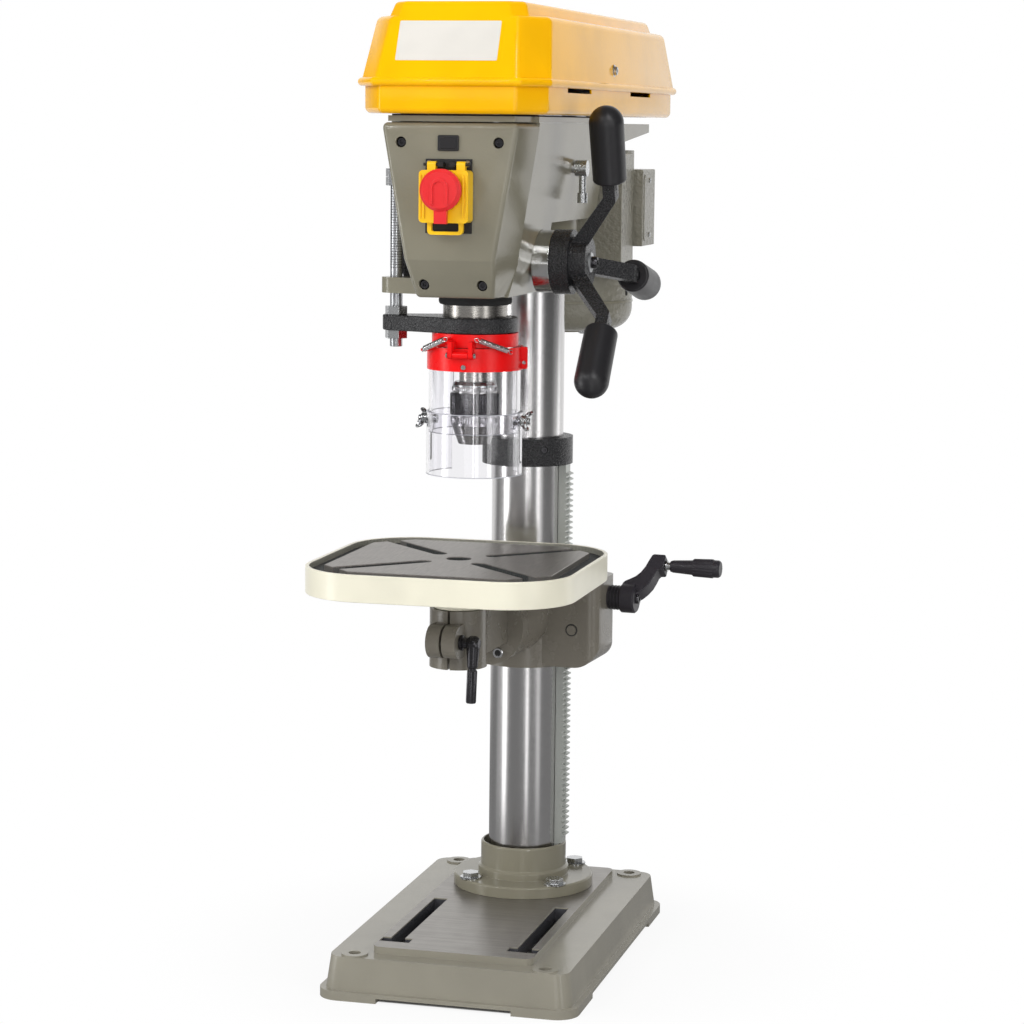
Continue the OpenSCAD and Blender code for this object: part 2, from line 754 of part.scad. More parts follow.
// Stud through the ears with a hub and a hanging lever
module table_clamp() color("#26272a") at_bracket() translate([0, stud_y, stud_z]) {
    bar_x(stud_d / 2, -ear_x - 2, ear_x + 10);
    bar_x(7.5, ear_x + slip, ear_x + 20.5);
    translate([ear_x + 13.5, 0, 0]) rotate([180, 2, 0]) {
        bar_z(4, 0, 54);
        bar_z(6.5, 0, 24);
        bar_z(5, 27, 58);
    }
}

// Square table with a lip, a trough, a machined top and diagonal slots
module work_table() {
    low = table_z - rim_h;
    top_w = table_w - 2 * (rim_lip + trough_w);
    cut = 34;
    half = top_w / 2;
    color("#ece8d6") translate(table_at) difference() {
        union() {
            translate([0, 0, low]) linear_extrude(rim_h) rounded(table_w, table_w, table_r);
            bar_z(stem_d / 2 + 8, boss_top + slip, table_z - table_t);
            bar_z(stem_d / 2, boss_low + 4, table_z - table_t);
        }
        translate([0, 0, low - 1]) linear_extrude(rim_h - table_t + 1) difference() {
            rounded(table_w - table_t, table_w - table_t, table_r - table_t / 2);
            circle(stem_d / 2 + 8);
        }
        translate([0, 0, table_z - trough_h]) linear_extrude(trough_h + 1) difference() {
            rounded(table_w - 2 * rim_lip, table_w - 2 * rim_lip, table_r - rim_lip);
            polygon([[half, half - cut], [half - cut, half], [cut - half, half], [-half, half - cut],
                [-half, cut - half], [cut - half, -half], [half - cut, -half], [half, cut - half]]);
        }
        for (a = [45:90:315]) rotate(a) {
            translate([table_slot_in, 0, 0]) bar_z(table_slot_w / 2, low, table_z + 1);
            block([table_slot_in, -table_slot_w / 2, low], [half * sqrt(2) - cut / sqrt(2) + 3,
                table_slot_w / 2, table_z + 1]);
        }
        bar_z(table_hole_d / 2, boss_low, table_z + 1);
    }
}

// Head: panelled box, feed housing, quill tube and column socket, with two rear arms under the guard
module head_casting() {
    side = [[-head_top_w, head_top], [head_top_w, head_top], [head_low_w, panel_z], [-head_low_w, panel_z]];
    hollow = [[head_wall - head_top_w, head_top - head_wall], [head_top_w - head_wall, head_top - head_wall],
        [head_low_w - head_wall, panel_z + head_wall], [head_wall - head_low_w, panel_z + head_wall]];
    jaw = [[-head_low_w, panel_z], [head_low_w, panel_z], [feed_side, feed_z], [head_foot_w, head_z],
        [-head_foot_w, head_z], [-feed_side, feed_z]];
    color("#8a8674") difference() {
        union() {
            difference() {
                sweep_y(seam_y, head_back) polygon(side);
                sweep_y(seam_y - 1, head_back - head_wall) polygon(hollow);
            }
            sweep_y(seam_y, feed_y + feed_boss_r + 5) polygon(jaw);
            at_spindle() bar_z(quill_r + 12, head_z, head_top - 1);
            at_column() bar_z(col_r + 12, head_z, head_top - 1);
            block([-26, feed_y, head_z], [26, col_y, panel_z + 1]);
            both_sides() sweep_x(head_top_w - 14, head_top_w) polygon([[head_back - 1, head_top],
                [motor_y + rear_arm, head_top], [motor_y + rear_arm, head_top - 9], [head_back - 1,
                    head_top - 24]]);
            hull() {
                translate([-rod_x, spin_y, 0]) bar_z(14, head_z, ear_top, $fn = 32);
                block([-head_foot_w, spin_y - 22, head_z], [-head_foot_w + 4, spin_y + 14, ear_top]);
            }
            at_spindle() bar_z(quill_r + 3, head_z - 8, head_z + 1);
        }
        at_spindle() bar_z(quill_r + run_fit, head_z - 9, quill_top + 6);
        at_spindle() bar_z(hub_r + run_fit, quill_top, head_top + 1);
        at_column() bar_z(col_r + run_fit, head_z - 1, column_top);
        translate([-rod_x, spin_y, 0]) bar_z(rod_d / 2 + slip, head_z - 9, head_top);
        at_feed() bar_x(pinion_bore, -pinion_w / 2 - 1, feed_side + 9);
        at_feed() bar_x(feed_shaft_d / 2 + run_fit, -feed_side - 9, 0);
        at_feed() bar_x(feed_boss_r + slip, feed_side, head_top_w);
        at_feed() bar_x(housing_r + slip, -head_top_w, -feed_side);
        translate([0, idler_y, 0]) bar_z(shaft_r + run_fit, head_top - head_wall - 1, head_top + 1);
        both_sides() translate([bar_x, 0, bar_z]) bar_y(bar_d / 2 + run_fit, bar_in - motor_travel - 1,
            head_back + 1);
        translate([0, lock_y, bar_z]) bar_x(lock_r + run_fit, bar_x, head_top_w + 1);
    }
}

// Front cover: leaning sides, a crease and a chin that leans back over the quill
module front_cover() {
    color("#8a8674") difference() {
        cover_shape(cover_r, 0);
        cover_shape(1, cover_wall);
        at_spindle() bar_z(quill_r + 12 + slip, head_z - 1, head_top + 1);
        block([-100, seam_y, head_z - 50], [100, seam_y + 60, head_top + 50]);
        for (s = [-1, 1]) {
            translate([s * 46.5, 0, head_top - 19]) bar_y(cover_hole_d / 2, face_y - 1, face_y + 20);
            translate([s * 28, 0, head_z + 12.5]) bar_y(cover_hole_d / 2, face_y - 1, face_y + 32);
        }
        block([-plate_sw_w / 2 + 4, face_y - 1, plate_mid - plate_sw_h / 2 + 5],
            [plate_sw_w / 2 - 4, face_y + cover_wall + 2, plate_mid + plate_sw_h / 2 - 5]);
    }
}

// Cover outline as a hull of edge balls, inset by a margin from the outside
module cover_shape(r, inset) {
    top = head_top - 1 - r;
    low = head_z + r + inset / 2;
    e = r + inset * 0.8;
    seam = seam_y + 3;
    hull() both_sides() {
        for (p = [[head_top_w - e, seam, top - inset], [head_low_w - e, seam, panel_z], [feed_side - e,
            seam, feed_z],
            [head_foot_w - e, seam, low], [face_top_w - e, face_y + r + inset, top - inset],
            [face_low_w - e, face_y + r + inset, head_z + crease_h],
            [head_foot_w - 4 - e, face_y + chin_back + r + inset, low]])
            translate(p) sphere(r, $fn = 16);
    }
}

// Switch body behind the cover, with the plate in front of it
module switch_box() color("#1f2023") difference() {
    union() {
        block([-plate_sw_w / 2, plate_face, plate_mid - plate_sw_h / 2],
            [plate_sw_w / 2, face_y, plate_mid + plate_sw_h / 2]);
        block([-plate_sw_w / 2 + 4 + slip, face_y - 1, plate_mid - plate_sw_h / 2 + 5 + slip],
            [plate_sw_w / 2 - 4 - slip, face_y + 30, plate_mid + plate_sw_h / 2 - 5 - slip]);
        both_sides() translate([0, flap_hinge_y, flap_hinge_z]) bar_x(1.5, 3, 22);
        both_sides() block([3, flap_hinge_y - 2, flap_hinge_z - 2], [8, plate_face + 1, flap_hinge_z + 2]);
    }
    for (s = [-1, 1]) translate([s * button_d * 0.7, 0, knob_z - 8])
        bar_y(button_d / 2 + slip, plate_face - 1, plate_face + 9);
}

module start_button() push_button(button_d * 0.7, "#2f8f3e");
module stop_button() push_button(-button_d * 0.7, "#c8161d");
module push_button(x, shade) color(shade) translate([x, 0, knob_z - 8])
    bar_y(button_d / 2, plate_face - 4, plate_face + 4);

// Yellow flap over the buttons, hung on two ears, with a loop for a padlock
module switch_flap() {
    y1 = plate_face - slip;
    color("#f7c400") difference() {
        union() {
            translate([0, 0, flap_low + flap_h / 2]) sweep_y(flap_face, y1) rounded(flap_w, flap_h, 4);
            both_sides() block([10, flap_hinge_y - 3, flap_top - 3], [18, flap_hinge_y + 3, flap_hinge_z]);
            both_sides() translate([0, flap_hinge_y, flap_hinge_z]) bar_x(3, 10, 18);
            sweep_y(flap_face + 6, flap_face + 10) difference() {
                translate([0, flap_low - 3]) rounded(34, 16, 4);
                translate([0, flap_low - 4]) rounded(26, 8, 2);
            }
        }
        translate([0, 0, flap_low + flap_h / 2]) sweep_y(flap_face + 3, y1 + 1) rounded(flap_w - 5,
            flap_h - 5, 3);
        both_sides() translate([0, flap_hinge_y, flap_hinge_z]) bar_x(1.5 + run_fit, 9, 19);
        translate([0, 0, knob_z]) bar_y(7 + run_fit, flap_face - 1, flap_face + 4);
    }
}

// Red mushroom knob on a stem through the flap
module stop_knob() color("#e01b22") translate([0, flap_face, knob_z]) {
    rotate([90, 0, 0]) rotate_extrude() polygon([[0, 5], [knob_d / 2 - 2, 5], [knob_d / 2, 7],
        [knob_d / 2, 11],
        [knob_d / 2 - 3, 14], [0, 15]]);
    block([-6, -11, -knob_d / 2 - 11], [6, -5.5, 0]);
    bar_y(7, -6, 8);
    bar_y(9, 3 + slip, 8);
}

module feed_boss() color("#c3c7cb") at_feed() difference() {
    union() {
        bar_x(feed_boss_r, feed_side, feed_boss_x);
        bar_x(pinion_bore - run_fit, spigot_x, feed_side + 1);
    }
    bar_x(feed_shaft_d / 2 + run_fit, 0, feed_boss_x + 1);
}

// Pinion shaft from the spring housing to the hub
module feed_shaft() color("#9ea2a6") at_feed() {
    bar_x(feed_shaft_d / 2, housing_x + 6, hub_x + hub_t - 4);
    sweep_x(-pinion_w / 2, pinion_w / 2) polygon(gear_outline(feed_m, feed_n, pinion_add, feed_m, 0.25));
}

module feed_arms() for (i = [0:2]) rotate([arm_rest + 120 * i, 0, 0]) children();

// Hub ring, dished hub and three flat arms
module feed_hub() {
    x1 = hub_x + arm_slope;
    reach = grip_out - grip_l / 2;
    color("#1e1f22") at_feed() difference() {
        union() {
            bar_x(feed_boss_r + 1, ring_x, hub_x + 1);
            bar_x(24, hub_x, hub_x + hub_t);
            feed_arms() {
                sweep_y(-8, 8) polygon([[hub_x + 1, 0], [hub_x + hub_t - 1, 0], [hub_x + hub_t - 1, 18],
                    [x1 + 7, reach - 16], [x1 + 7, reach + 2], [x1 - 5, reach + 2], [x1 - 5, reach - 12],
                    [hub_x + 1, 22]]);
                translate([x1 + 1, 0, 0]) bar_z(7, reach - 6, grip_out + 20);
            }
        }
        bar_x(feed_shaft_d / 2, ring_x - 1, hub_x + hub_t - 4);
    }
}

module feed_grips() {
    r = grip_d / 2;
    color("#1b1c1f") at_feed() feed_arms() translate([hub_x + arm_slope + 1, 0,
        grip_out - grip_l / 2 + 2 + slip])
        rotate_extrude() difference() {
            union() {
                polygon([[0, 0], [r - 2, 0], [r - 0.5, 1.5], [r, grip_l - r], [0, grip_l - r]]);
                intersection() {
                    translate([0, grip_l - r]) circle(r);
                    square([r, grip_l]);
                }
            }
            square([7 + run_fit, grip_l / 2 + 18]);
        }
}

module spring_housing() color("#26272a") at_feed() difference() {
    bar_x(housing_r, housing_x, -feed_side);
    bar_x(housing_r - housing_wall, housing_x + housing_wall, -feed_side + 1);
}

// Flat clock spring, three turns
module return_spring() {
    turns = 3;
    n = 72;
    in = feed_shaft_d / 2 + 3;
    out = housing_r - 6;
    strip = 1.2;
    line = [for (i = [0:n]) [in + (out - in) * i / n, 360 * turns * i / n]];
    outline = concat([for (p = line) polar(p[0], p[1])], [for (i = [n:-1:0]) polar(line[i][0] + strip,
        line[i][1])]);
    color("#6d7074") at_feed() {
        sweep_x(housing_x + 6, -feed_side - 3) polygon(outline);
        block([housing_x + 6, out + strip / 2, -2], [-feed_side - 3, housing_r - housing_wall - 0.2, 2]);
    }
}

// Quill with the feed rack cut in its back
module quill() {
    edge = rack_edge(feed_m, feed_add, feed_ded, 0.25, feed_z - 24, quill_top + 6, feed_z);
    space = concat([[quill_r + 5, feed_z - 28]], [[feed_line + feed_add, feed_z - 28]],
        [for (p = edge) [feed_line + p[1], p[0]]], [[feed_line - feed_ded, quill_top + 10],
            [quill_r + 5, quill_top + 10]]);
    color("#b8bbbe") at_spindle() difference() {
        bar_z(quill_r, quill_low, quill_top);
        bar_z(spindle_r + 1.5, quill_low - 1, quill_top + 1);
        bar_z(bearing_r(), quill_low - 1, quill_low + bearing_h());
        bar_z(bearing_r(), quill_top - bearing_h(), quill_top + 1);
        sweep_x(-pinion_w / 2 - 1.5, pinion_w / 2 + 1.5) polygon(space);
    }
}

function bearing_r() = min(spindle_r + 9, feed_line - feed_ded - 1.5);
function bearing_h() = 13;

module quill_bearings() color("#9da1a5") at_spindle() for (z = [quill_low + 1,
    quill_top - bearing_h()]) difference() {
    bar_z(bearing_r() - run_fit, z, z + bearing_h() - 1);
    bar_z(spindle_r + run_fit, z - 1, z + bearing_h());
}

// Black clamp arm from the quill to the depth rod
module depth_arm() color("#1d1e20") at_spindle() difference() {
    translate([0, 0, arm_low]) linear_extrude(arm_t) {
        circle(clamp_r);
        translate([-rod_x, 0]) circle(rod_d + 1);
        polygon([[-rod_x, -rod_d - 1], [0, -clamp_r], [0, clamp_r], [-rod_x, rod_d + 1]]);
    }
    bar_z(quill_r + run_fit, arm_low - 1, arm_top + 1);
    translate([-rod_x, 0, 0]) bar_z(rod_d / 2 + run_fit, arm_low - 1, arm_top + 1);
}

module at_rod() translate([-rod_x, spin_y, 0]) children();

module depth_rod() color("#b7babd") at_rod() bar_z(rod_d / 2, rod_low, rod_low + rod_l);

module rod_nut(z) difference() {
    hex_z(rod_nut_af, z, z + nut_h);
    bar_z(rod_d / 2 + run_fit, z - 1, z + nut_h + 1);
}

module depth_rod_nuts() color("#b7babd") at_rod() {
    rod_nut(arm_top);
    rod_nut(arm_low - nut_h);
}

module depth_stop_nuts() color("#b7babd") at_rod() for (z = [stop_z, stop_z + nut_h + slip]) rod_nut(z);

module spindle() color("#a9acb0") at_spindle() {
    bar_z(spindle_r, chuck_top - 12, pulley_top + 4);
    bar_z(spindle_r + 5, chuck_top, quill_low - 0.5);
}

// Chuck: rear ring, core under the sleeve and bored nose cone
module chuck_body() {
    r = chuck_d / 2;
    color("#b3b6b9") at_spindle() difference() {
        rotate_extrude() polygon([[0, nose_z], [r - 7.5, nose_z], [r - 1.2, nose_z + 17], [r - 0.6,
            nose_z + 18],
            [r - 0.6, sleeve_z - slip], [r - 5, sleeve_z - slip], [r - 5, sleeve_z + 21 + slip],
            [r - 1.6, sleeve_z + 21 + slip], [r - 1.6, chuck_top - 3], [r - 4, chuck_top], [0, chuck_top]]);
        bar_z(chuck_cap / 2, nose_z - 1, nose_z + 40);
        bar_z(spindle_r + run_fit, chuck_top - 12, chuck_top + 1);
        for (i = [0:2]) at_jaw(i) bar_z(jaw_d / 2 + run_fit, -20, jaw_l + 1);
    }
}

module chuck_sleeve() color("#2a2b2e") at_spindle() difference() {
    bar_z(chuck_d / 2, sleeve_z, sleeve_z + 21);
    bar_z(chuck_d / 2 - 5 + run_fit, sleeve_z - 1, sleeve_z + 22);
}

// Jaw axis: out at the nose and leaning outward as it rises
module at_jaw(i) rotate(90 + 120 * i) translate([chuck_cap / 2 + jaw_d / 2 + 0.4, 0, nose_z + 3])
    rotate([0, jaw_tilt, 0]) children();
module jaw(i) color("#8f9397") at_spindle() at_jaw(i) bar_z(jaw_d / 2, 0, jaw_l);
module jaw_1() jaw(0);
module jaw_2() jaw(1);
module jaw_3() jaw(2);

// Red ring on the quill with the hinge lugs, the hinge pin and the spring pegs
module guard_mount() color("#e8202a") at_spindle() {
    difference() {
        bar_z(mount_r, quill_low + 2 + slip, arm_low);
        bar_z(quill_r + run_fit, quill_low, arm_low + 1);
    }
    both_sides() {
        block([8, -pin_y - hinge_r, quill_low + 2 + slip], [12, -mount_r + 6, quill_low + 9]);
        block([8, -pin_y - hinge_r, pin_z], [12, -pin_y + hinge_r, quill_low + 4]);
        translate([0, -pin_y, pin_z]) bar_x(hinge_r, 8, 12);
        rotate(spring_from) translate([0, 0, peg_z]) bar_y(peg_r, -peg_from - 1.5, -mount_r + 2);
    }
    translate([0, -pin_y, pin_z]) bar_x(1.8, -13, 13);
}

// Part turn of a tube around the spindle, open at the back
module open_tube(r0, r1, z0, z1) rotate(90 + shield_gap / 2) rotate_extrude(angle = 360 - shield_gap)
    translate([r0, z0]) square([r1 - r0, z1 - z0]);

module shield_band() color("#e8202a") at_spindle() difference() {
    union() {
        open_tube(shield_out, band_r, band_z, band_z + band_h);
        block([-7.5, -pin_y, pin_z - hinge_r], [7.5, -shield_out - 0.5, pin_z + hinge_r]);
        translate([0, -pin_y, pin_z]) bar_x(hinge_r, -7.5, 7.5);
        both_sides() rotate(spring_to) translate([0, 0, band_z + band_h - 3]) bar_y(peg_r,
            -peg_to - 1.5, -band_r + 1);
    }
    translate([0, -pin_y, pin_z]) bar_x(1.8 + run_fit, -20, 20);
}

module shield_upper() color([0.85, 0.88, 0.9, 0.4]) at_spindle() difference() {
    open_tube(shield_r, shield_out, quill_low - shield_low, band_z + band_h - 3);
    for (s = [-1, 1]) translate([0, 0, nut_z]) bar_x(2.5, s > 0 ? 30 : -60, s > 0 ? 60 : -30);
}

// Clear extension that slides up outside the shield along two slots
module shield_lower() {
    low = quill_low - ext_low;
    slot_low = nut_z - ext_travel;
    color([0.85, 0.88, 0.9, 0.4]) at_spindle() difference() {
        open_tube(ext_r, ext_out, low, low + ext_h);
        both_sides() {
            block([30, -2.8, slot_low], [60, 2.8, nut_z]);
            translate([0, 0, slot_low]) bar_x(2.8, 30, 60);
            translate([0, 0, nut_z]) bar_x(2.8, 30, 60);
        }
    }
}

// Screws through the upper shield with wing nuts outside the extension
module wing_nuts() color("#c3c6c9") at_spindle() both_sides() translate([0, 0, nut_z]) {
    bar_x(2.5, shield_r - 2, ext_out + 9);
    bar_x(4.5, shield_r - 4, shield_r - slip);
    bar_x(5, ext_out + slip, ext_out + 6);
    for (t = [-1, 1]) translate([ext_out + 5, 0, 0]) rotate([30, 0, 0]) translate([0, t * 8, 0])
        rotate([0, 0, t * -20]) bar_x(4.5, 0, 1.8);
}

ext_travel = min(ext_h - 20, shield_low - band_h - 20);
spring_from = 17;
spring_to = 55;
peg_z = quill_low + 11;
spring_clear = 2.6;
peg_r = 1.2;
peg_from = mount_r + 11;
peg_to = band_r + 7;

// Points of one guard spring: a straight end, curls at a steady rate and a straight end
function spring_ends(s) = [
    [s * peg_from * sin(spring_from), -peg_from * cos(spring_from), peg_z],
    [s * peg_to * sin(spring_to), -peg_to * cos(spring_to), band_z + band_h - 3]];
function unit(v) = v / norm(v);
function spring_rings(s) =
    let (ends = spring_ends(s), d = unit(ends[1] - ends[0]), u = unit(cross(d, [0, 0, 1])), v = cross(d, u))
    let (full = norm(ends[1] - ends[0]) - 2 * spring_clear, tail = spring_wire, n = spring_curls * 8)
    let (run = full - 2 * tail, start = ends[0] + d * spring_clear, r = spring_d / 2)
    [for (i = [-1:n + 1]) let (k = min(max(i, 0), n), a = 360 * k / 8, e = -s * (u * cos(a) + v * sin(a)))
        let (along = i < 0 ? 0 : i > n ? full : tail + run * k / n)
        let (t = i < 0 || i > n ? d : unit(d * run / (360 * spring_curls) * 180 / PI + cross(d, e) * r))
        [start + d * along + e * r, e, t]];
function spring_gap(rings) = min([for (i = [0:len(rings) - 1], j = [i + 5:1:min(i + 12, len(rings) - 1)])
    norm(rings[i][0] - rings[j][0])]) - spring_wire;

module spring_tube(rings) {
    sides = 6;
    n = len(rings);
    points = [for (q = rings, k = [0:sides - 1]) let (a = 360 * k / sides)
        q[0] + (q[1] * cos(a) + cross(q[2], q[1]) * sin(a)) * spring_wire / 2];
    walls = [for (i = [0:n - 2], k = [0:sides - 1]) let (a = i * sides + k, b = i * sides + (k + 1) % sides)
        each [[a, b, a + sides], [b, b + sides, a + sides]]];
    caps = [for (k = [1:sides - 2]) each [[0, k + 1, k], [(n - 1) * sides, (n - 1) * sides + k, (n - 1)
        * sides + k + 1]]];
    polyhedron(points, concat(walls, caps));
}

module guard_springs() {
    echo(guard_spring_gap = spring_gap(spring_rings(1)));
    color("#c5c8cb") at_spindle() for (s = [-1, 1]) spring_tube(spring_rings(s));
}

// Stepped pulley outline, bottom step first
function pulley_outline(radii, bore) = concat([[bore, pulley_z]], [for (i = [0:len(radii) - 1])
    let (r = radii[i], z = pulley_z + i * step_h, flat = step_h / 2)
    each [[r, z], [r, z + 1.5], [r - groove_h, z + flat - 4], [r - groove_h, z + flat + 4],
        [r, z + step_h - 1.5], [r, z + step_h]]], [[bore, pulley_top]]);

module spindle_pulley() color("#9b9ea2") at_spindle() {
    rotate_extrude() polygon(pulley_outline(spindle_steps, spindle_r + run_fit));
    difference() {
        bar_z(hub_r, head_top - head_wall, pulley_z + 1);
        bar_z(spindle_r + run_fit, quill_top, pulley_z + 2);
    }
}

module idler_post() color("#8d9196") translate([0, idler_y, 0]) {
    bar_z(shaft_r, head_top - head_wall, pulley_top + 2);
    bar_z(14, head_top, pulley_z - slip);
}

module idler_pulley() color("#9b9ea2") translate([0, idler_y, 0])
    rotate_extrude() polygon(pulley_outline(idler_steps, shaft_r + run_fit));

// Pulley on the motor's shaft, with the rotor inside the motor
module motor_pulley() color("#9b9ea2") translate([0, motor_y, 0]) {
    rotate_extrude() polygon(pulley_outline(motor_steps, 0));
    bar_z(shaft_r, motor_z + 14, pulley_z + 1);
    bar_z(rotor_r, rotor_low, rotor_high);
}

// Loop round two circles
module loop(r0, r1, length) {
    a = acos((r0 - r1) / length);
    circle(r0);
    translate([0, length]) circle(r1);
    polygon([[-r0 * sin(a), r0 * cos(a)], [r0 * sin(a), r0 * cos(a)], [r1 * sin(a), length + r1 * cos(a)],
        [-r1 * sin(a), length + r1 * cos(a)]]);
}

module belt(r0, r1, length, level) {
    seat = groove_h - slip;
    translate([0, 0, pulley_z + (level + 0.5) * step_h - 4 + slip]) linear_extrude(8 - 2 * slip)
        difference() {
        loop(r0 - 1, r1 - 1, length);
        loop(r0 - seat, r1 - seat, length);
    }
}

module front_belt() color("#1c1d1f") at_spindle() belt(spindle_steps[0], idler_steps[0], idler_back, 0);
module rear_belt() color("#1c1d1f") translate([0, idler_y, 0])
    belt(idler_steps[steps - 1], motor_steps[steps - 1], motor_y - idler_y, steps - 1);

// Motor case with its stator, bored for the shaft and hollow round the rotor
module motor_body() color("#84806e") translate([0, motor_y, 0]) rotate_extrude() difference() {
    union() {
        translate([0, motor_z + motor_round]) square([motor_r, motor_top - motor_z - motor_round]);
        translate([0, motor_z]) square([motor_r - motor_round, motor_round + 1]);
        translate([motor_r - motor_round, motor_z + motor_round]) circle(motor_round);
    }
    translate([-motor_r, motor_z - 1]) square([motor_r, motor_top]);
    translate([0, motor_z + 13]) square([shaft_r + run_fit, motor_top]);
    translate([0, motor_z + motor_round]) square([motor_r - motor_round,
        rotor_low - motor_z - motor_round - slip]);
    translate([0, rotor_low - 1]) square([rotor_r + slip, rotor_high - rotor_low + 2]);
    translate([0, rotor_high + slip]) square([motor_r - motor_round, motor_top - motor_wall - rotor_high]);
}

// Channel that carries the motor on the slide bars
module motor_plate() {
    front = motor_front - 12;
    color("#84806e") difference() {
        union() {
            block([-motor_plate_w, front, head_z + 8], [motor_plate_w, motor_front - slip, motor_top - 3]);
            both_sides() block([motor_plate_w - 5, front, head_z + 8],
                [motor_plate_w, motor_front + plate_wing, motor_top - 3]);
        }
        both_sides() translate([bar_x, 0, bar_z]) bar_y(bar_d / 2 + run_fit, front - 1, front + 8);
    }
}

module terminal_box() color("#84806e") difference() {
    block([20, motor_y - 20, head_z + 34], [motor_r + 16, motor_y + 42, motor_top - 20]);
    translate([0, motor_y, 0]) bar_z(motor_r + run_fit, head_z, motor_top);
}

module slide_bars() color("#b7babd") both_sides() translate([bar_x, 0, bar_z])
    bar_y(bar_d / 2, bar_in, motor_front - 4);

// Lever screw that locks the right slide bar
module tension_lock() color("#b7babd") translate([0, lock_y, bar_z]) {
    bar_x(lock_r, bar_x + bar_d / 2 + slip, lock_x);
    bar_x(8, lock_x - 2, lock_x + 10);
    translate([lock_x + 5, 0, 0]) rotate([180, 0, 0]) {
        bar_z(3.5, 0, 30);
        bar_z(5, 24, 34);
    }
}

// Plan of the belt guard: straight ends with slanted corners, c across by the width and the length
function plan_points(w, l, c = [corner_in, corner_l]) = [[w - c[0], -l / 2], [w, c[1] - l / 2], [w,
    l / 2 - c[1]],
    [w - c[0], l / 2], [c[0] - w, l / 2], [-w, l / 2 - c[1]], [-w, c[1] - l / 2], [c[0] - w, -l / 2]];
module guard_plan(w, l) polygon(plan_points(w, l));

// Tray with a rounded floor edge
module tray(w, l, from, to, r) hull() for (p = plan_points(w - r, l - 2 * r)) {
    translate([p[0], p[1], from + r]) sphere(r, $fn = round_steps);
    translate([p[0], p[1], to - 1]) cylinder(r = r, h = 1, $fn = round_steps);
}

// Pressing with leaning walls and a rounded top edge
module pressing(w, l, c, lean, rake, from, to, r) hull() {
    for (p = plan_points(w - r, l - 2 * r, c))
        translate([p[0], p[1], from]) cylinder(r = r, h = 0.1, $fn = round_steps);
    for (p = plan_points(w - lean - r, l - 2 * (rake + r), c))
        translate([p[0], p[1], to - r]) sphere(r, $fn = round_steps);
}

// Sheet pan under the pulleys, with feet on the head and hinge pins on the left
module guard_pan() {
    color("#f7bf00") difference() {
        union() {
            translate([0, pan_mid, 0]) tray(pan_w, pan_l, pan_z, pan_top, pan_r);
            for (y = [seam_y + 14, head_back - 14], s = [-1, 1])
                translate([s * (head_top_w - 14), y, 0]) bar_z(9, head_top, pan_z + 1);
            for (y = lid_hinge_ys) translate([0, y, 0]) {
                translate([lid_hinge_x, 0, pan_top]) bar_y(2.5, -18, 18);
                for (e = [-18, 12]) block([lid_hinge_x - 3, e, pan_top - 3], [-pan_w + 1, e + 6, pan_top]);
            }
        }
        translate([0, pan_mid, 0]) tray(pan_w - sheet, pan_l - 2 * sheet, pan_z + sheet, pan_top + 2,
            pan_r - sheet);
        for (y = vent_ys) block([pan_w - 3, y, pan_top - 7], [pan_w + 1, y + vent_l, pan_top + 1]);
        at_spindle() bar_z(hub_r + 4, pan_z - 1, pan_z + sheet + 1);
        translate([0, idler_y, 0]) bar_z(14 + slip, pan_z - 1, pan_z + sheet + 1);
        translate([0, motor_y, pan_z - 1]) linear_extrude(sheet + 2) rounded(32, 70, 15.9);
    }
}

// Lid: rolled rim, leaning sides and a raised crown, hinged on the left
module guard_lid() {
    w = pan_w + lid_lip;
    l = pan_l + 2 * lid_lip;
    color("#f7bf00") translate([0, pan_mid, 0]) difference() {
        union() {
            hull() for (p = plan_points(w - rim_r, l - 2 * rim_r))
                translate([p[0], p[1], lid_z + rim_r]) sphere(rim_r, $fn = round_steps);
            lid_form(0);
            for (y = lid_hinge_ys) translate([0, y - pan_mid, 0]) {
                translate([lid_hinge_x, 0, pan_top]) bar_y(5, -11, 11);
                block([lid_hinge_x, -11, pan_top - 1], [lid_edge - w, 11, pan_top + 4]);
            }
        }
        translate([0, 0, lid_z - 1]) linear_extrude(4 + slip) guard_plan(pan_w + slip, pan_l + 2 * slip);
        translate([0, 0, lid_z]) linear_extrude(6) guard_plan(pan_w - sheet, pan_l - 2 * sheet);
        lid_form(sheet);
        for (y = lid_hinge_ys) translate([0, y - pan_mid, pan_top]) {
            translate([lid_hinge_x, 0, 0]) bar_y(2.5 + run_fit, -12, 12);
            for (e = [-18, 12]) block([-w - 1, e - 0.5, -4], [-pan_w + 0.5, e + 6.5, 0.5]);
        }
    }
}

// Sides and crown of the lid, drawn in by t for the inside
module lid_form(t) {
    w = pan_w + lid_lip - lid_edge - t;
    l = pan_l + 2 * (lid_lip - lid_edge - t);
    rise = crown_h + lid_r - crown_r;
    crown_rake = lid_rake * rise / (lid_h - lid_r);
    pressing(w, l, [corner_in, corner_l], lid_lean, lid_rake, lid_z + 5, shoulder_z - t, lid_r - t);
    pressing(crown_w - t, l - 2 * (lid_rake + slip), [crown_corner, crown_corner], crown_corner / 2,
        crown_rake,
        shoulder_z - lid_r, crown_z - t, crown_r - t);
}

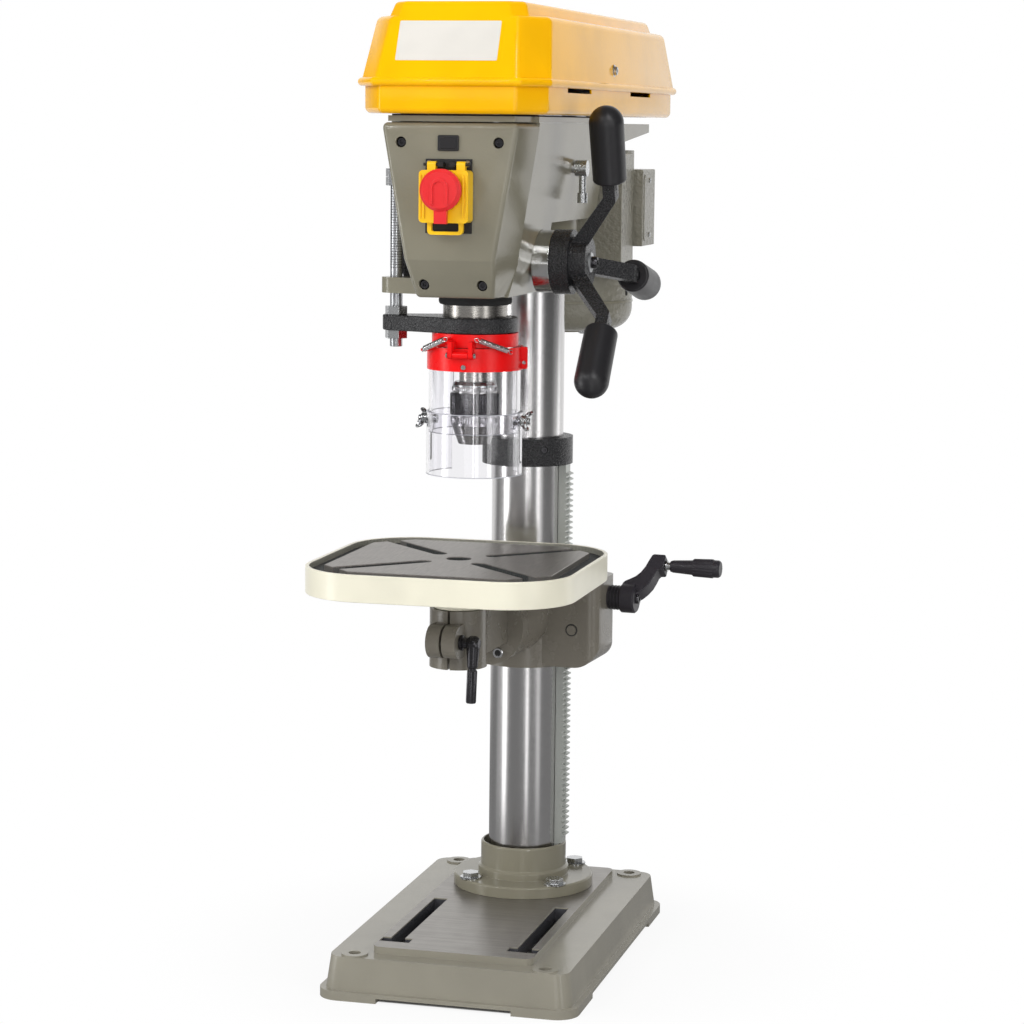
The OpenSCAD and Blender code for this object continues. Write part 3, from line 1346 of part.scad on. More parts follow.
base_casting();
column_flange();
flange_bolts();
column_tube();
rack_collar();
lift_rack();
table_bracket();
bracket_pins();
column_clamp();
lift_gear();
worm_shaft();
crank_arm();
crank_grip();
table_arm();
table_clamp();
work_table();
head_casting();
front_cover();
switch_box();
switch_flap();
stop_knob();
start_button();
stop_button();
feed_boss();
feed_shaft();
feed_hub();
feed_grips();
spring_housing();
return_spring();
quill();
quill_bearings();
depth_arm();
depth_rod();
depth_rod_nuts();
depth_stop_nuts();
spindle();
chuck_body();
chuck_sleeve();
jaw_1();
jaw_2();
jaw_3();
guard_mount();
shield_band();
shield_upper();
shield_lower();
wing_nuts();
guard_springs();
spindle_pulley();
idler_post();
idler_pulley();
motor_pulley();
front_belt();
rear_belt();
motor_body();
motor_plate();
terminal_box();
slide_bars();
tension_lock();
guard_pan();
guard_lid();
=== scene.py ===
"""Looks of a benchtop drill press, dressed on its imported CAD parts."""

from __future__ import annotations

import logging
import math
from dataclasses import dataclass
from enum import Enum
from functools import cache
from typing import ClassVar, Iterable, Sequence

import bmesh
import bpy
from mathutils import Matrix, Vector

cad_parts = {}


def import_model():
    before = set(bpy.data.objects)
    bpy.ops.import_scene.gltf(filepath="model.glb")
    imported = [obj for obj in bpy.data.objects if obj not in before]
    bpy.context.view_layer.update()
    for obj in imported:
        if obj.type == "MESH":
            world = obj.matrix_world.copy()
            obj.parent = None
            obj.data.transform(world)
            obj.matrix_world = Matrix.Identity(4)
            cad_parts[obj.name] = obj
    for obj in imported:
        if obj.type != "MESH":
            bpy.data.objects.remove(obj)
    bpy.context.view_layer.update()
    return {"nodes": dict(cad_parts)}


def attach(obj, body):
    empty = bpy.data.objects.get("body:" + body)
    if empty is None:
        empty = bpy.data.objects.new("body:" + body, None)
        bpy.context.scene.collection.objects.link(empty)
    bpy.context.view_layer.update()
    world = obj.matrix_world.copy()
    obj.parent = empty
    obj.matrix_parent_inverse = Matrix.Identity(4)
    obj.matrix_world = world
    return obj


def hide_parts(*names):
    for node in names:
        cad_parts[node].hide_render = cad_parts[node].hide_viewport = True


Color = tuple[float, float, float]
Point = tuple[float, float, float]
Pair = tuple[float, float]
Profile = Sequence[Pair]
Mesh = bmesh.types.BMesh
Node = bpy.types.Node
Socket = bpy.types.NodeSocket
Tree = bpy.types.NodeTree

LOG = logging.getLogger("drill_press")
MM = 0.001
COLUMN_Y = 98.0
SPINDLE_Y = -111.0
BRACKET = Matrix.Translation((0, COLUMN_Y, 0)) @ Matrix.Rotation(math.radians(-4), 4, "Z")
NEAR_ZERO = 1e-6


def srgb(*channels: int) -> Color:
    """Turns a display colour, 0 to 255 in each channel, into the linear one that shaders use."""
    parts = (channel / 255 for channel in channels)
    return tuple(part / 12.92 if part <= 0.04045 else ((part + 0.055) / 1.055) ** 2.4 for part in parts)


def dimmed(color: Color, share: float) -> Color:
    """A colour times a share."""
    return tuple(channel * share for channel in color)


class Axis(Enum):
    """Direction in the row frame that a piece's +Z is laid along, as a turn and what it turns about."""

    X = (math.pi / 2, "Y")
    LEFT = (-math.pi / 2, "Y")
    Y = (-math.pi / 2, "X")
    FRONT = (math.pi / 2, "X")
    DOWN = (math.pi, "X")
    Z = (0.0, "Z")

    def turn(self) -> Matrix:
        """Rotation that lays +Z along this direction."""
        angle, about = self.value
        return Matrix.Rotation(angle, 4, about)


class Side(Enum):
    """Side of the machine, as its sign along X."""

    LEFT = -1
    RIGHT = 1

    @property
    def letter(self) -> str:
        """Letter of the side in the names of pieces."""
        return self.name[0].lower()

    @property
    def axis(self) -> Axis:
        """Direction out of the side."""
        return Axis.X if self is Side.RIGHT else Axis.LEFT


class Graph:
    """Makes and joins the nodes of one node tree."""

    def __init__(self, tree: Tree) -> None:
        """Keeps the tree that the nodes go into."""
        self.tree = tree

    @classmethod
    def cleared(cls, owner: bpy.types.Material | bpy.types.World) -> Graph:
        """Graph of a material or a world, emptied first."""
        owner.use_nodes = True
        owner.node_tree.nodes.clear()
        return cls(owner.node_tree)

    def fill(self, node: Node, ins: dict) -> Node:
        """Links or sets a node's inputs.

        Args:
            node: Node to fill.
            ins: Input name or number to an output socket, a number, a colour or a vector.

        Returns:
            The node.
        """
        for key, value in ins.items():
            socket = node.inputs[key]
            if isinstance(value, Socket):
                self.tree.links.new(value, socket)
            elif socket.type == "RGBA" and len(value) == 3:
                socket.default_value = (*value, 1.0)
            else:
                socket.default_value = value
        return node

    def add(self, kind: str, ins: dict | None = None, **props: object) -> Node:
        """Adds one node.

        Args:
            kind: Blender's name for the node type.
            ins: Input name or number to value or socket.
            **props: Settings of the node itself.

        Returns:
            The new node.
        """
        node = self.tree.nodes.new(kind)
        for key, value in props.items():
            setattr(node, key, value)
        return self.fill(node, ins or {})

    def math(self, operation: str, *values: object) -> Socket:
        """Result of one of Blender's sums on numbers or sockets."""
        return self.add("ShaderNodeMath", dict(enumerate(values)), operation=operation).outputs[0]

    def times(self, first: object, *others: object) -> Socket:
        """Product of numbers or sockets."""
        for other in others:
            first = self.math("MULTIPLY", first, other)
        return first

    def plus(self, first: object, *others: object) -> Socket:
        """Total of numbers or sockets."""
        for other in others:
            first = self.math("ADD", first, other)
        return first

    def scaled(self, value: object, share: object, start: object) -> Socket:
        """A value times a share, on top of a start."""
        return self.math("MULTIPLY_ADD", value, share, start)

    def less(self, first: object, second: object) -> Socket:
        """First value less the second."""
        return self.math("SUBTRACT", first, second)

    def most(self, first: object, second: object) -> Socket:
        """Greater of two values."""
        return self.math("MAXIMUM", first, second)

    def apart(self, first: object, second: object) -> Socket:
        """Distance between two values."""
        return self.math("ABSOLUTE", self.less(first, second))

    def mix(self, factor: object, first: object, second: object) -> Socket:
        """Mixes two colours, with the factor as the share of the second."""
        return self.add("ShaderNodeMix", {0: factor, 6: first, 7: second}, data_type="RGBA").outputs[2]

    def span(self, value: object, low: float, high: float, start: float = 0.0, end: float = 1.0) -> Socket:
        """Maps a range of a value smoothly to another range.

        Args:
            value: Socket to read.
            low: Value that gives start.
            high: Value that gives end.
            start: Result at low.
            end: Result at high.

        Returns:
            The result's socket.
        """
        ins = dict(enumerate((value, low, high, start, end)))
        return self.add("ShaderNodeMapRange", ins, interpolation_type="SMOOTHSTEP").outputs[0]

    def noise(self, where: object, scale: object, detail: float = 3.0, rough: float = 0.5) -> Socket:
        """Cloudy value from 0 to 1.

        Args:
            where: Coordinates.
            scale: Number of clouds to the metre.
            detail: Layers of finer clouds.
            rough: Strength of the finer layers.

        Returns:
            The value's socket.
        """
        ins = {"Vector": where, "Scale": scale, "Detail": detail, "Roughness": rough}
        return self.add("ShaderNodeTexNoise", ins).outputs[0]

    def place(self) -> Socket:
        """Coordinates that stay with the object."""
        return self.add("ShaderNodeTexCoord").outputs["Object"]

    def normal(self) -> Socket:
        """Direction that the surface faces."""
        return self.add("ShaderNodeNewGeometry").outputs["Normal"]

    def split(self, vector: object) -> list[Socket]:
        """Parts of a vector along X, Y and Z."""
        return list(self.add("ShaderNodeSeparateXYZ", {0: vector}).outputs)

    def group(self, tree: Tree, **ins: object) -> bpy.types.bpy_prop_collection:
        """Places a shared effect with its values here, and gives its outputs."""
        return self.add("ShaderNodeGroup", ins, node_tree=tree).outputs

    def press(self, height: object, depth: float) -> Socket:
        """Normal with a height of 0 to 1 pressed in, at a depth in metres."""
        return self.add("ShaderNodeBump", {"Strength": 1.0, "Distance": depth, "Height": height}).outputs[0]


class Effects:
    """Surface effects that several finishes share, each one a shader node group made on first use."""

    @staticmethod
    def start(name: str, outs: Sequence[str], **ins: object) -> tuple[Graph, bpy.types.bpy_prop_collection, Node]:
        """Opens a new group.

        Args:
            name: Name of the group.
            outs: Names of its outputs, of which Color is a colour and the others are numbers.
            **ins: Input name to its usual value: a number, a colour or a vector.

        Returns:
            The graph, the sockets that the inputs give, and the node that takes the outputs.
        """
        tree = bpy.data.node_groups.new(name, "ShaderNodeTree")
        kinds = {1: "NodeSocketFloat", 3: "NodeSocketVector", 4: "NodeSocketColor"}
        for key, value in ins.items():
            kind = kinds[len(value) if isinstance(value, tuple) else 1]
            tree.interface.new_socket(key, in_out="INPUT", socket_type=kind).default_value = value
        for key in outs:
            tree.interface.new_socket(key, in_out="OUTPUT", socket_type=kinds[4 if key == "Color" else 1])
        graph = Graph(tree)
        return graph, graph.add("NodeGroupInput").outputs, graph.add("NodeGroupOutput")

    @staticmethod
    @cache
    def paint_film() -> Tree:
        """Sprayed paint: soft colour drift, orange peel and a little haze.

        Returns:
            The group.
        """
        g, given, out = Effects.start("Paint Film", ("Color", "Roughness", "Height"), Color=(0.5, 0.5, 0.5, 1.0),
                                      Peel=420.0, Gloss=0.2)
        where = g.place()
        drift = g.span(g.noise(where, 14.0, 2.0), 0.35, 0.7)
        dark = g.add("ShaderNodeHueSaturation", {"Color": given["Color"], "Value": 0.9}).outputs[0]
        fine = g.noise(where, g.times(given["Peel"], 3.0), 2.0)
        g.fill(out, {"Color": g.mix(drift, given["Color"], dark),
                     "Roughness": g.scaled(g.noise(where, 60.0), 0.12, given["Gloss"]),
                     "Height": g.scaled(fine, 0.25, g.noise(where, given["Peel"], 1.0))})
        return g.tree

    @staticmethod
    @cache
    def edge_wear() -> Tree:
        """Mask of rubbed edges, broken up by noise.

        Returns:
            The group.
        """
        g, given, out = Effects.start("Edge Wear", ("Mask",), Radius=0.0015, Amount=0.5)
        soft = g.add("ShaderNodeBevel", {"Radius": given["Radius"]}, samples=4).outputs[0]
        same = g.add("ShaderNodeVectorMath", {0: soft, 1: g.normal()}, operation="DOT_PRODUCT").outputs["Value"]
        patch = g.span(g.noise(g.place(), 160.0, 4.0, 0.65), 0.5, 0.66)
        g.fill(out, {"Mask": g.times(g.span(same, 0.97, 0.8), patch, given["Amount"])})
        return g.tree

    @staticmethod
    @cache
    def tool_marks() -> Tree:
        """Fine marks drawn out along one direction, as grinding and turning leave.

        Returns:
            The group.
        """
        g, given, out = Effects.start("Tool Marks", ("Streak", "Cloud"), Stretch=(1.0, 1.0, 1.0), Scale=900.0)
        where = g.place()
        drawn = g.add("ShaderNodeVectorMath", {0: where, 1: given["Stretch"]}, operation="MULTIPLY").outputs[0]
        g.fill(out, {"Streak": g.noise(drawn, given["Scale"], 3.0, 0.6), "Cloud": g.noise(where, 22.0)})
        return g.tree

    @staticmethod
    @cache
    def cast_skin() -> Tree:
        """Pebbled skin of crackle paint and sand castings, with paler flecks that are partly the paint's own and partly
        painted glints.

        Returns:
            The group.
        """
        g, given, out = Effects.start("Cast Skin", ("Height", "Fleck"), Scale=700.0)
        where, scale = g.place(), given["Scale"]
        pebble = g.add("ShaderNodeTexVoronoi", {"Vector": where, "Scale": scale}, feature="SMOOTH_F1")
        rough = g.noise(where, g.times(scale, 0.6), 4.0, 0.6)
        g.fill(out, {"Height": g.less(rough, pebble.outputs["Distance"]),
                     "Fleck": g.span(g.noise(where, g.times(scale, 1.4), 2.0), 0.62, 0.72)})
        return g.tree


@dataclass(frozen=True)
class Finish:
    """A finish: a named colour that can make its material."""

    name: str
    color: Color

    def material(self) -> bpy.types.Material:
        """Gives this finish's material, made on first use.

        Returns:
            The material.
        """
        found = bpy.data.materials.get(self.name)
        if found is not None:
            return found
        made = bpy.data.materials.new(self.name)
        graph = Graph.cleared(made)
        shader = graph.add("ShaderNodeBsdfPrincipled", {"Base Color": self.color})
        graph.add("ShaderNodeOutputMaterial", {"Surface": shader.outputs[0]})
        graph.fill(shader, self.shade(graph))
        return made

    def shade(self, graph: Graph) -> dict[str, object]:
        """Adds the finish's own nodes.

        Args:
            graph: The material's graph.

        Returns:
            Input name of the main shader to its value or socket.
        """
        raise NotImplementedError


@dataclass(frozen=True)
class GlossPaint(Finish):
    """Gloss machine paint over metal, with edges rubbed thin."""

    gloss: float = 0.16
    peel: float = 420.0
    depth: float = 0.00012
    worn: float = 0.25
    worn_width: float = 0.0012
    under: Color = (0.3, 0.29, 0.27)
    specular: float = 0.5

    def shade(self, graph: Graph) -> dict[str, object]:
        """Paint film with wear at the edges.

        Args:
            graph: The material's graph.

        Returns:
            Input name of the main shader to its value or socket.
        """
        film = graph.group(Effects.paint_film(), Color=self.color, Peel=self.peel, Gloss=self.gloss)
        wear = graph.group(Effects.edge_wear(), Radius=self.worn_width, Amount=self.worn)
        return {"Base Color": graph.mix(wear["Mask"], film["Color"], self.under), "Roughness": film["Roughness"],
                "Specular IOR Level": self.specular, "Normal": graph.press(film["Height"], self.depth)}


@dataclass(frozen=True)
class BareMetal(Finish):
    """Bare steel or alloy with marks along its stretch."""

    rough: float = 0.28
    stretch: Point = (1.0, 1.0, 0.02)
    scale: float = 900.0
    depth: float = 0.00001
    metallic: float = 1.0
    contrast: float = 0.12

    def shade(self, graph: Graph) -> dict[str, object]:
        """Metal with drawn-out marks in colour, roughness and relief.

        Args:
            graph: The material's graph.

        Returns:
            Input name of the main shader to its value or socket.
        """
        marks = graph.group(Effects.tool_marks(), Stretch=self.stretch, Scale=self.scale)
        tone = graph.scaled(marks["Streak"], 0.75, graph.times(marks["Cloud"], 0.25))
        dark = dimmed(self.color, 1 - self.contrast)
        return {"Base Color": graph.mix(graph.span(tone, 0.35, 0.65), dark, self.color),
                "Roughness": graph.span(marks["Streak"], 0.3, 0.7, self.rough - 0.03, self.rough + 0.04),
                "Metallic": self.metallic, "Normal": graph.press(marks["Streak"], self.depth)}


@dataclass(frozen=True)
class CracklePaint(Finish):
    """Black crackle paint or rough cast skin."""

    rough: float = 0.32
    scale: float = 820.0
    depth: float = 0.0006
    worn: float = 0.3
    worn_width: float = 0.001
    # Colour of the paler flecks: partly the paint's own, partly painted glints.
    fleck: Color = (0.16, 0.16, 0.17)

    def shade(self, graph: Graph) -> dict[str, object]:
        """Pebbled paint with paler flecks, partly its own and partly painted glints, and rubbed edges.

        Args:
            graph: The material's graph.

        Returns:
            Input name of the main shader to its value or socket.
        """
        skin = graph.group(Effects.cast_skin(), Scale=self.scale)
        wear = graph.group(Effects.edge_wear(), Radius=self.worn_width, Amount=self.worn)
        # Flecks, partly painted glints, and rubbed edges take the paler colour.
        spots = graph.most(graph.times(skin["Fleck"], 0.5), wear["Mask"])
        return {"Base Color": graph.mix(spots, self.color, self.fleck),
                "Roughness": graph.span(skin["Height"], -0.2, 0.6, self.rough - 0.1, self.rough + 0.12),
                "Normal": graph.press(skin["Height"], self.depth)}


@dataclass(frozen=True)
class Moulded(Finish):
    """Moulded plastic or rubber with a fine mould texture."""

    rough: float = 0.35
    scale: float = 1500.0
    depth: float = 0.00006
    specular: float = 0.5

    def shade(self, graph: Graph) -> dict[str, object]:
        """Plastic with a fine grain and slight sheen drift.

        Args:
            graph: The material's graph.

        Returns:
            Input name of the main shader to its value or socket.
        """
        film = graph.group(Effects.paint_film(), Color=self.color, Peel=self.scale, Gloss=self.rough)
        return {"Base Color": film["Color"], "Roughness": film["Roughness"], "Specular IOR Level": self.specular,
                "Normal": graph.press(film["Height"], self.depth)}


@dataclass(frozen=True)
class ClearPlastic(Finish):
    """Clear acrylic with faint rubbing marks."""

    rough: float = 0.02
    scratched: float = 0.08
    specular: float = 0.12

    def shade(self, graph: Graph) -> dict[str, object]:
        """See-through shader with fine scratches in its gloss.

        Args:
            graph: The material's graph.

        Returns:
            Input name of the main shader to its value or socket.
        """
        marks = graph.group(Effects.tool_marks(), Stretch=(1.0, 1.0, 0.15), Scale=300.0)
        return {"Transmission Weight": 1.0, "IOR": 1.49, "Specular IOR Level": self.specular,
                "Roughness": graph.span(marks["Streak"], 0.5, 0.9, self.rough, self.scratched)}


@dataclass(frozen=True)
class TableIron(Finish):
    """Cast table: cream painted rim, dark cast trough and machined top, with sizes in metres."""

    middle: Pair = (-0.01458, -0.11049)
    top: float = 0.421
    trough_depth: float = 0.012
    lip: float = 0.1275
    corner: float = 0.064
    trough: Color = (0.04, 0.043, 0.043)
    iron: Color = (0.36, 0.335, 0.31)

    def shade(self, graph: Graph) -> dict[str, object]:
        """Three finishes on one casting, told apart by height and side.

        Args:
            graph: The material's graph.

        Returns:
            Input name of the main shader to its value or socket.
        """
        x, y, z = graph.split(graph.place())
        fars = [graph.apart(value, middle) for value, middle in zip((x, y), self.middle)]
        past = [graph.most(graph.less(far, self.lip - self.corner), 0.0) for far in fars]
        reach = graph.math("SQRT", graph.plus(*(graph.math("POWER", far, 2.0) for far in past)))
        low = self.top - self.trough_depth
        cut = graph.times(graph.span(reach, self.corner + 0.0006, self.corner - 0.0004),
                          graph.span(z, low - 0.0005, low + 0.0005))
        steep = graph.span(graph.split(graph.normal())[2], 0.5, 0.3)
        outer = graph.times(graph.span(reach, self.corner - 0.003, self.corner - 0.005), graph.span(reach, 0.03, 0.032))
        off_slot = graph.span(graph.apart(*fars), 0.009, 0.011)
        flank = graph.times(steep, outer, off_slot, 0.8)
        level = graph.times(graph.most(graph.span(z, self.top - 0.0012, self.top - 0.0006), flank), cut)
        marks = graph.group(Effects.tool_marks(), Stretch=(1.0, 0.04, 1.0), Scale=1000.0)
        skin = graph.group(Effects.cast_skin(), Scale=500.0)
        film = graph.group(Effects.paint_film(), Color=self.color, Peel=300.0, Gloss=0.3)
        iron = graph.mix(graph.span(marks["Streak"], 0.35, 0.65), dimmed(self.iron, 0.75), self.iron)
        # Paler flecks in the trough: partly the cast skin's own, partly painted glints.
        dark = graph.mix(skin["Fleck"], self.trough, dimmed(self.trough, 3))
        pits = graph.times(skin["Height"], graph.less(cut, level))
        lines = graph.times(marks["Streak"], graph.times(level, 0.08))
        relief = graph.plus(pits, lines, graph.times(film["Height"], 0.12))
        return {"Base Color": graph.mix(level, graph.mix(cut, film["Color"], dark), iron),
                "Metallic": graph.times(level, 0.75),
                "Roughness": graph.scaled(level, -0.25, graph.scaled(cut, 0.35, 0.3)),
                "Normal": graph.press(relief, 0.0006)}


@dataclass(frozen=True)
class BaseIron(Finish):
    """Painted base whose raised plate is machined bare, with sizes in metres."""

    plate: float = 0.048
    iron: Color = (0.34, 0.32, 0.295)
    under: Color = (0.3, 0.29, 0.27)
    slot_x: float = 0.064
    slot_half: float = 0.0155
    slot_ends: Pair = (-0.159, 0.0095)
    # Colour of the painted shade inside the slots.
    slot_dark: Color = (0.07, 0.07, 0.078)
    soft: float = 0.0005

    def shade(self, graph: Graph) -> dict[str, object]:
        """Gloss paint with a planed top plate, and the slots darkened inside as painted shade.

        Args:
            graph: The material's graph.

        Returns:
            Input name of the main shader to its value or socket.
        """
        x, y, z = graph.split(graph.place())
        up = graph.split(graph.normal())[2]
        level = graph.times(graph.span(z, self.plate - 0.0008, self.plate - 0.0004), graph.span(up, 0.9, 0.97))
        film = graph.group(Effects.paint_film(), Color=self.color, Peel=330.0, Gloss=0.12)
        wear = graph.group(Effects.edge_wear(), Radius=0.0015, Amount=0.25)
        marks = graph.group(Effects.tool_marks(), Stretch=(0.02, 1.0, 1.0), Scale=700.0)
        iron = graph.mix(graph.span(marks["Streak"], 0.35, 0.65), dimmed(self.iron, 0.78), self.iron)
        aside = graph.apart(graph.math("ABSOLUTE", x), self.slot_x)
        front, back = self.slot_ends
        # Painted shade: inside the slots, below the plate's top, the paint turns dark.
        slot = graph.times(graph.span(aside, self.slot_half + self.soft, self.slot_half),
                           graph.span(z, self.plate - 0.0008, self.plate - 0.0016),
                           graph.span(y, front - self.soft, front), graph.span(y, back + self.soft, back))
        paint = graph.mix(slot, graph.mix(wear["Mask"], film["Color"], self.under), self.slot_dark)
        lines = graph.times(marks["Streak"], graph.times(level, 0.5))
        return {"Base Color": graph.mix(level, paint, iron), "Metallic": graph.times(level, 0.8),
                "Roughness": graph.plus(film["Roughness"], graph.times(level, 0.14)),
                "Normal": graph.press(graph.plus(lines, film["Height"]), 0.00012)}


@dataclass(frozen=True)
class Graduated(Finish):
    """Plated rod with engraved lines on its front, with sizes in metres."""

    start: float = 0.70
    step: float = 0.0025
    engraved: Color = (0.03, 0.03, 0.03)

    def shade(self, graph: Graph) -> dict[str, object]:
        """Zinc plate with an even row of dark lines on the upper part.

        Args:
            graph: The material's graph.

        Returns:
            Input name of the main shader to its value or socket.
        """
        _, y, z = graph.split(graph.place())
        middle = SPINDLE_Y * MM
        fine = graph.span(graph.apart(graph.math("FRACT", graph.times(z, 1 / self.step)), 0.5), 0.12, 0.08)
        lines = graph.times(fine, graph.span(y, middle - 0.0005, middle - 0.0012),
                            graph.span(z, self.start, self.start + 0.001))
        marks = graph.group(Effects.tool_marks(), Stretch=(1.0, 1.0, 0.05), Scale=800.0)
        bright = graph.mix(graph.span(marks["Cloud"], 0.35, 0.7), dimmed(self.color, 0.8), self.color)
        return {"Base Color": graph.mix(graph.times(lines, 0.8), bright, self.engraved), "Metallic": 1.0,
                "Roughness": graph.span(marks["Streak"], 0.3, 0.7, 0.25, 0.42),
                "Normal": graph.press(graph.less(marks["Streak"], graph.times(lines, 2.0)), 0.00004)}


ROUND = (0.06, 0.06, 1.0)
EVEN = (1.0, 1.0, 1.0)
OLIVE = GlossPaint("olive_gloss", srgb(134, 130, 114), gloss=0.09)
OLIVE_DARK = GlossPaint("bracket_gloss", srgb(118, 113, 103), gloss=0.2, peel=260.0, depth=0.00018)
OLIVE_BASE = BaseIron("base_gloss", srgb(148, 144, 131))
HAMMER = GlossPaint("hammer_olive", srgb(136, 133, 120), gloss=0.18, peel=210.0, depth=0.0014)
YELLOW = GlossPaint("guard_yellow", srgb(255, 188, 0), gloss=0.05, peel=240.0, depth=0.00008, worn=0.12,
                    under=srgb(230, 160, 20), specular=0.32)
COLUMN = BareMetal("column_ground", (0.62, 0.61, 0.61), rough=0.22, stretch=ROUND, scale=2400.0, depth=0.000003,
                   contrast=0.05)
RACK = BareMetal("rack_milled", srgb(196, 199, 194), rough=0.36, stretch=(1.0, 0.05, 1.0), metallic=0.5)
STEEL = BareMetal("machined_steel", (0.45, 0.45, 0.46), rough=0.34, stretch=(0.1, 0.1, 1.0))
BRIGHT = BareMetal("bright_steel", (0.74, 0.74, 0.73), rough=0.09, stretch=(1.0, 0.1, 0.1), scale=2000.0)
TURNED = BareMetal("turned_boss", (0.74, 0.74, 0.73), rough=0.08, stretch=(1.0, 0.02, 0.02), scale=2600.0,
                   depth=0.00005)
QUILL = BareMetal("quill_ground", (0.44, 0.42, 0.39), rough=0.26, stretch=ROUND, scale=2200.0)
CHUCK = BareMetal("chuck_turned", (0.44, 0.435, 0.43), rough=0.2, stretch=ROUND, scale=2600.0)
ZINC = BareMetal("zinc_plate", (0.68, 0.69, 0.7), rough=0.26, stretch=EVEN, scale=420.0, contrast=0.2)
WIRE = BareMetal("spring_wire", (0.74, 0.74, 0.75), rough=0.14, stretch=EVEN, scale=500.0)
ALLOY = BareMetal("pulley_alloy", (0.62, 0.63, 0.64), rough=0.34, stretch=(0.1, 0.1, 1.0), scale=800.0)
BLACKED = BareMetal("black_oxide", (0.07, 0.068, 0.074), rough=0.24, stretch=(0.3, 0.3, 1.0), scale=700.0,
                    metallic=0.85)
CRACKLE = CracklePaint("black_crackle", srgb(34, 34, 36))
SATIN_BLACK = Moulded("satin_black", srgb(31, 30, 33), rough=0.33)
CAST_BLACK = Moulded("cast_black", srgb(46, 43, 49), rough=0.34)
SWITCH_BLACK = Moulded("switch_black", srgb(33, 33, 35), rough=0.42, scale=2200.0)
SWITCH_YELLOW = Moulded("switch_yellow", srgb(250, 200, 12), rough=0.26)
STOP_RED = Moulded("stop_red", srgb(226, 36, 40), rough=0.28)
START_GREEN = Moulded("start_green", srgb(40, 140, 66), rough=0.28)
GUARD_RED = Moulded("guard_red", srgb(242, 16, 18), rough=0.2, specular=0.3)
RUBBER = Moulded("belt_rubber", srgb(30, 30, 31), rough=0.6, scale=900.0, depth=0.0002)
WHITE_PLATE = Moulded("bare_plate", srgb(219, 215, 208), rough=0.4, specular=0.3)
CLEAR = ClearPlastic("clear_acrylic", (0.92, 0.915, 0.938))
FROST = Moulded("frosted_edge", srgb(196, 196, 204), rough=0.3)
TABLE = TableIron("table_casting", srgb(238, 234, 214))
GRADUATED = Graduated("graduated_rod", (0.6, 0.61, 0.63))


class EdgeTool:
    """Rounds edges with modifiers, and leaves meshes as they are."""

    sharp: ClassVar[float] = math.radians(28)
    joined: ClassVar[float] = 0.00001
    level: ClassVar[float] = math.radians(0.6)

    @staticmethod
    @cache
    def welder() -> Tree:
        """Geometry group that joins split corners and marks edges over an angle as sharp.

        Returns:
            The group.
        """
        tree = bpy.data.node_groups.new("Joined Skin", "GeometryNodeTree")
        for way in ("INPUT", "OUTPUT"):
            tree.interface.new_socket("Geometry", in_out=way, socket_type="NodeSocketGeometry")
        g = Graph(tree)
        skin = g.add("NodeGroupInput").outputs[0]
        angle = g.add("GeometryNodeInputMeshEdgeAngle").outputs["Unsigned Angle"]
        sharp = g.add("FunctionNodeCompare", {0: angle, 1: EdgeTool.sharp}, operation="GREATER_THAN").outputs[0]
        for kind, ins, props in (
                ("GeometryNodeRemoveAttribute", {"Name": "custom_normal"}, {}),
                ("GeometryNodeMergeByDistance", {"Distance": EdgeTool.joined}, {}),
                ("GeometryNodeSetShadeSmooth", {"Shade Smooth": True}, {"domain": "FACE"}),
                ("GeometryNodeSetShadeSmooth", {"Selection": sharp, "Shade Smooth": False}, {"domain": "EDGE"})):
            skin = g.add(kind, {"Geometry": skin, **ins}, **props).outputs[0]
        g.add("NodeGroupOutput", {0: skin})
        return tree

    @staticmethod
    def bevel(obj: bpy.types.Object, width: float, steps: int, angle: float) -> bpy.types.Modifier:
        """Rounds the edges over an angle.

        Args:
            obj: Mesh to round.
            width: Width of the rounded edge in millimetres.
            steps: Faces across the rounded edge.
            angle: Least angle of an edge in radians.

        Returns:
            The modifier.
        """
        bevel = obj.modifiers.new("edges", "BEVEL")
        bevel.width = width * MM
        bevel.segments = steps
        bevel.limit_method = "ANGLE"
        bevel.angle_limit = angle
        bevel.harden_normals = True
        return bevel

    @classmethod
    def soften(cls, obj: bpy.types.Object, width: float) -> None:
        """Joins a CAD node's skin and rounds its edges.

        Args:
            obj: CAD node.
            width: Width of the rounded edge in millimetres, or 0 for none.
        """
        obj.modifiers.new("joined", "NODES").node_group = cls.welder()
        if width <= 0:
            return
        flat = obj.modifiers.new("flat", "DECIMATE")
        flat.decimate_type = "DISSOLVE"
        flat.angle_limit = cls.level
        cls.bevel(obj, width, 3 if width > 2 else 2, cls.sharp).miter_outer = "MITER_ARC"


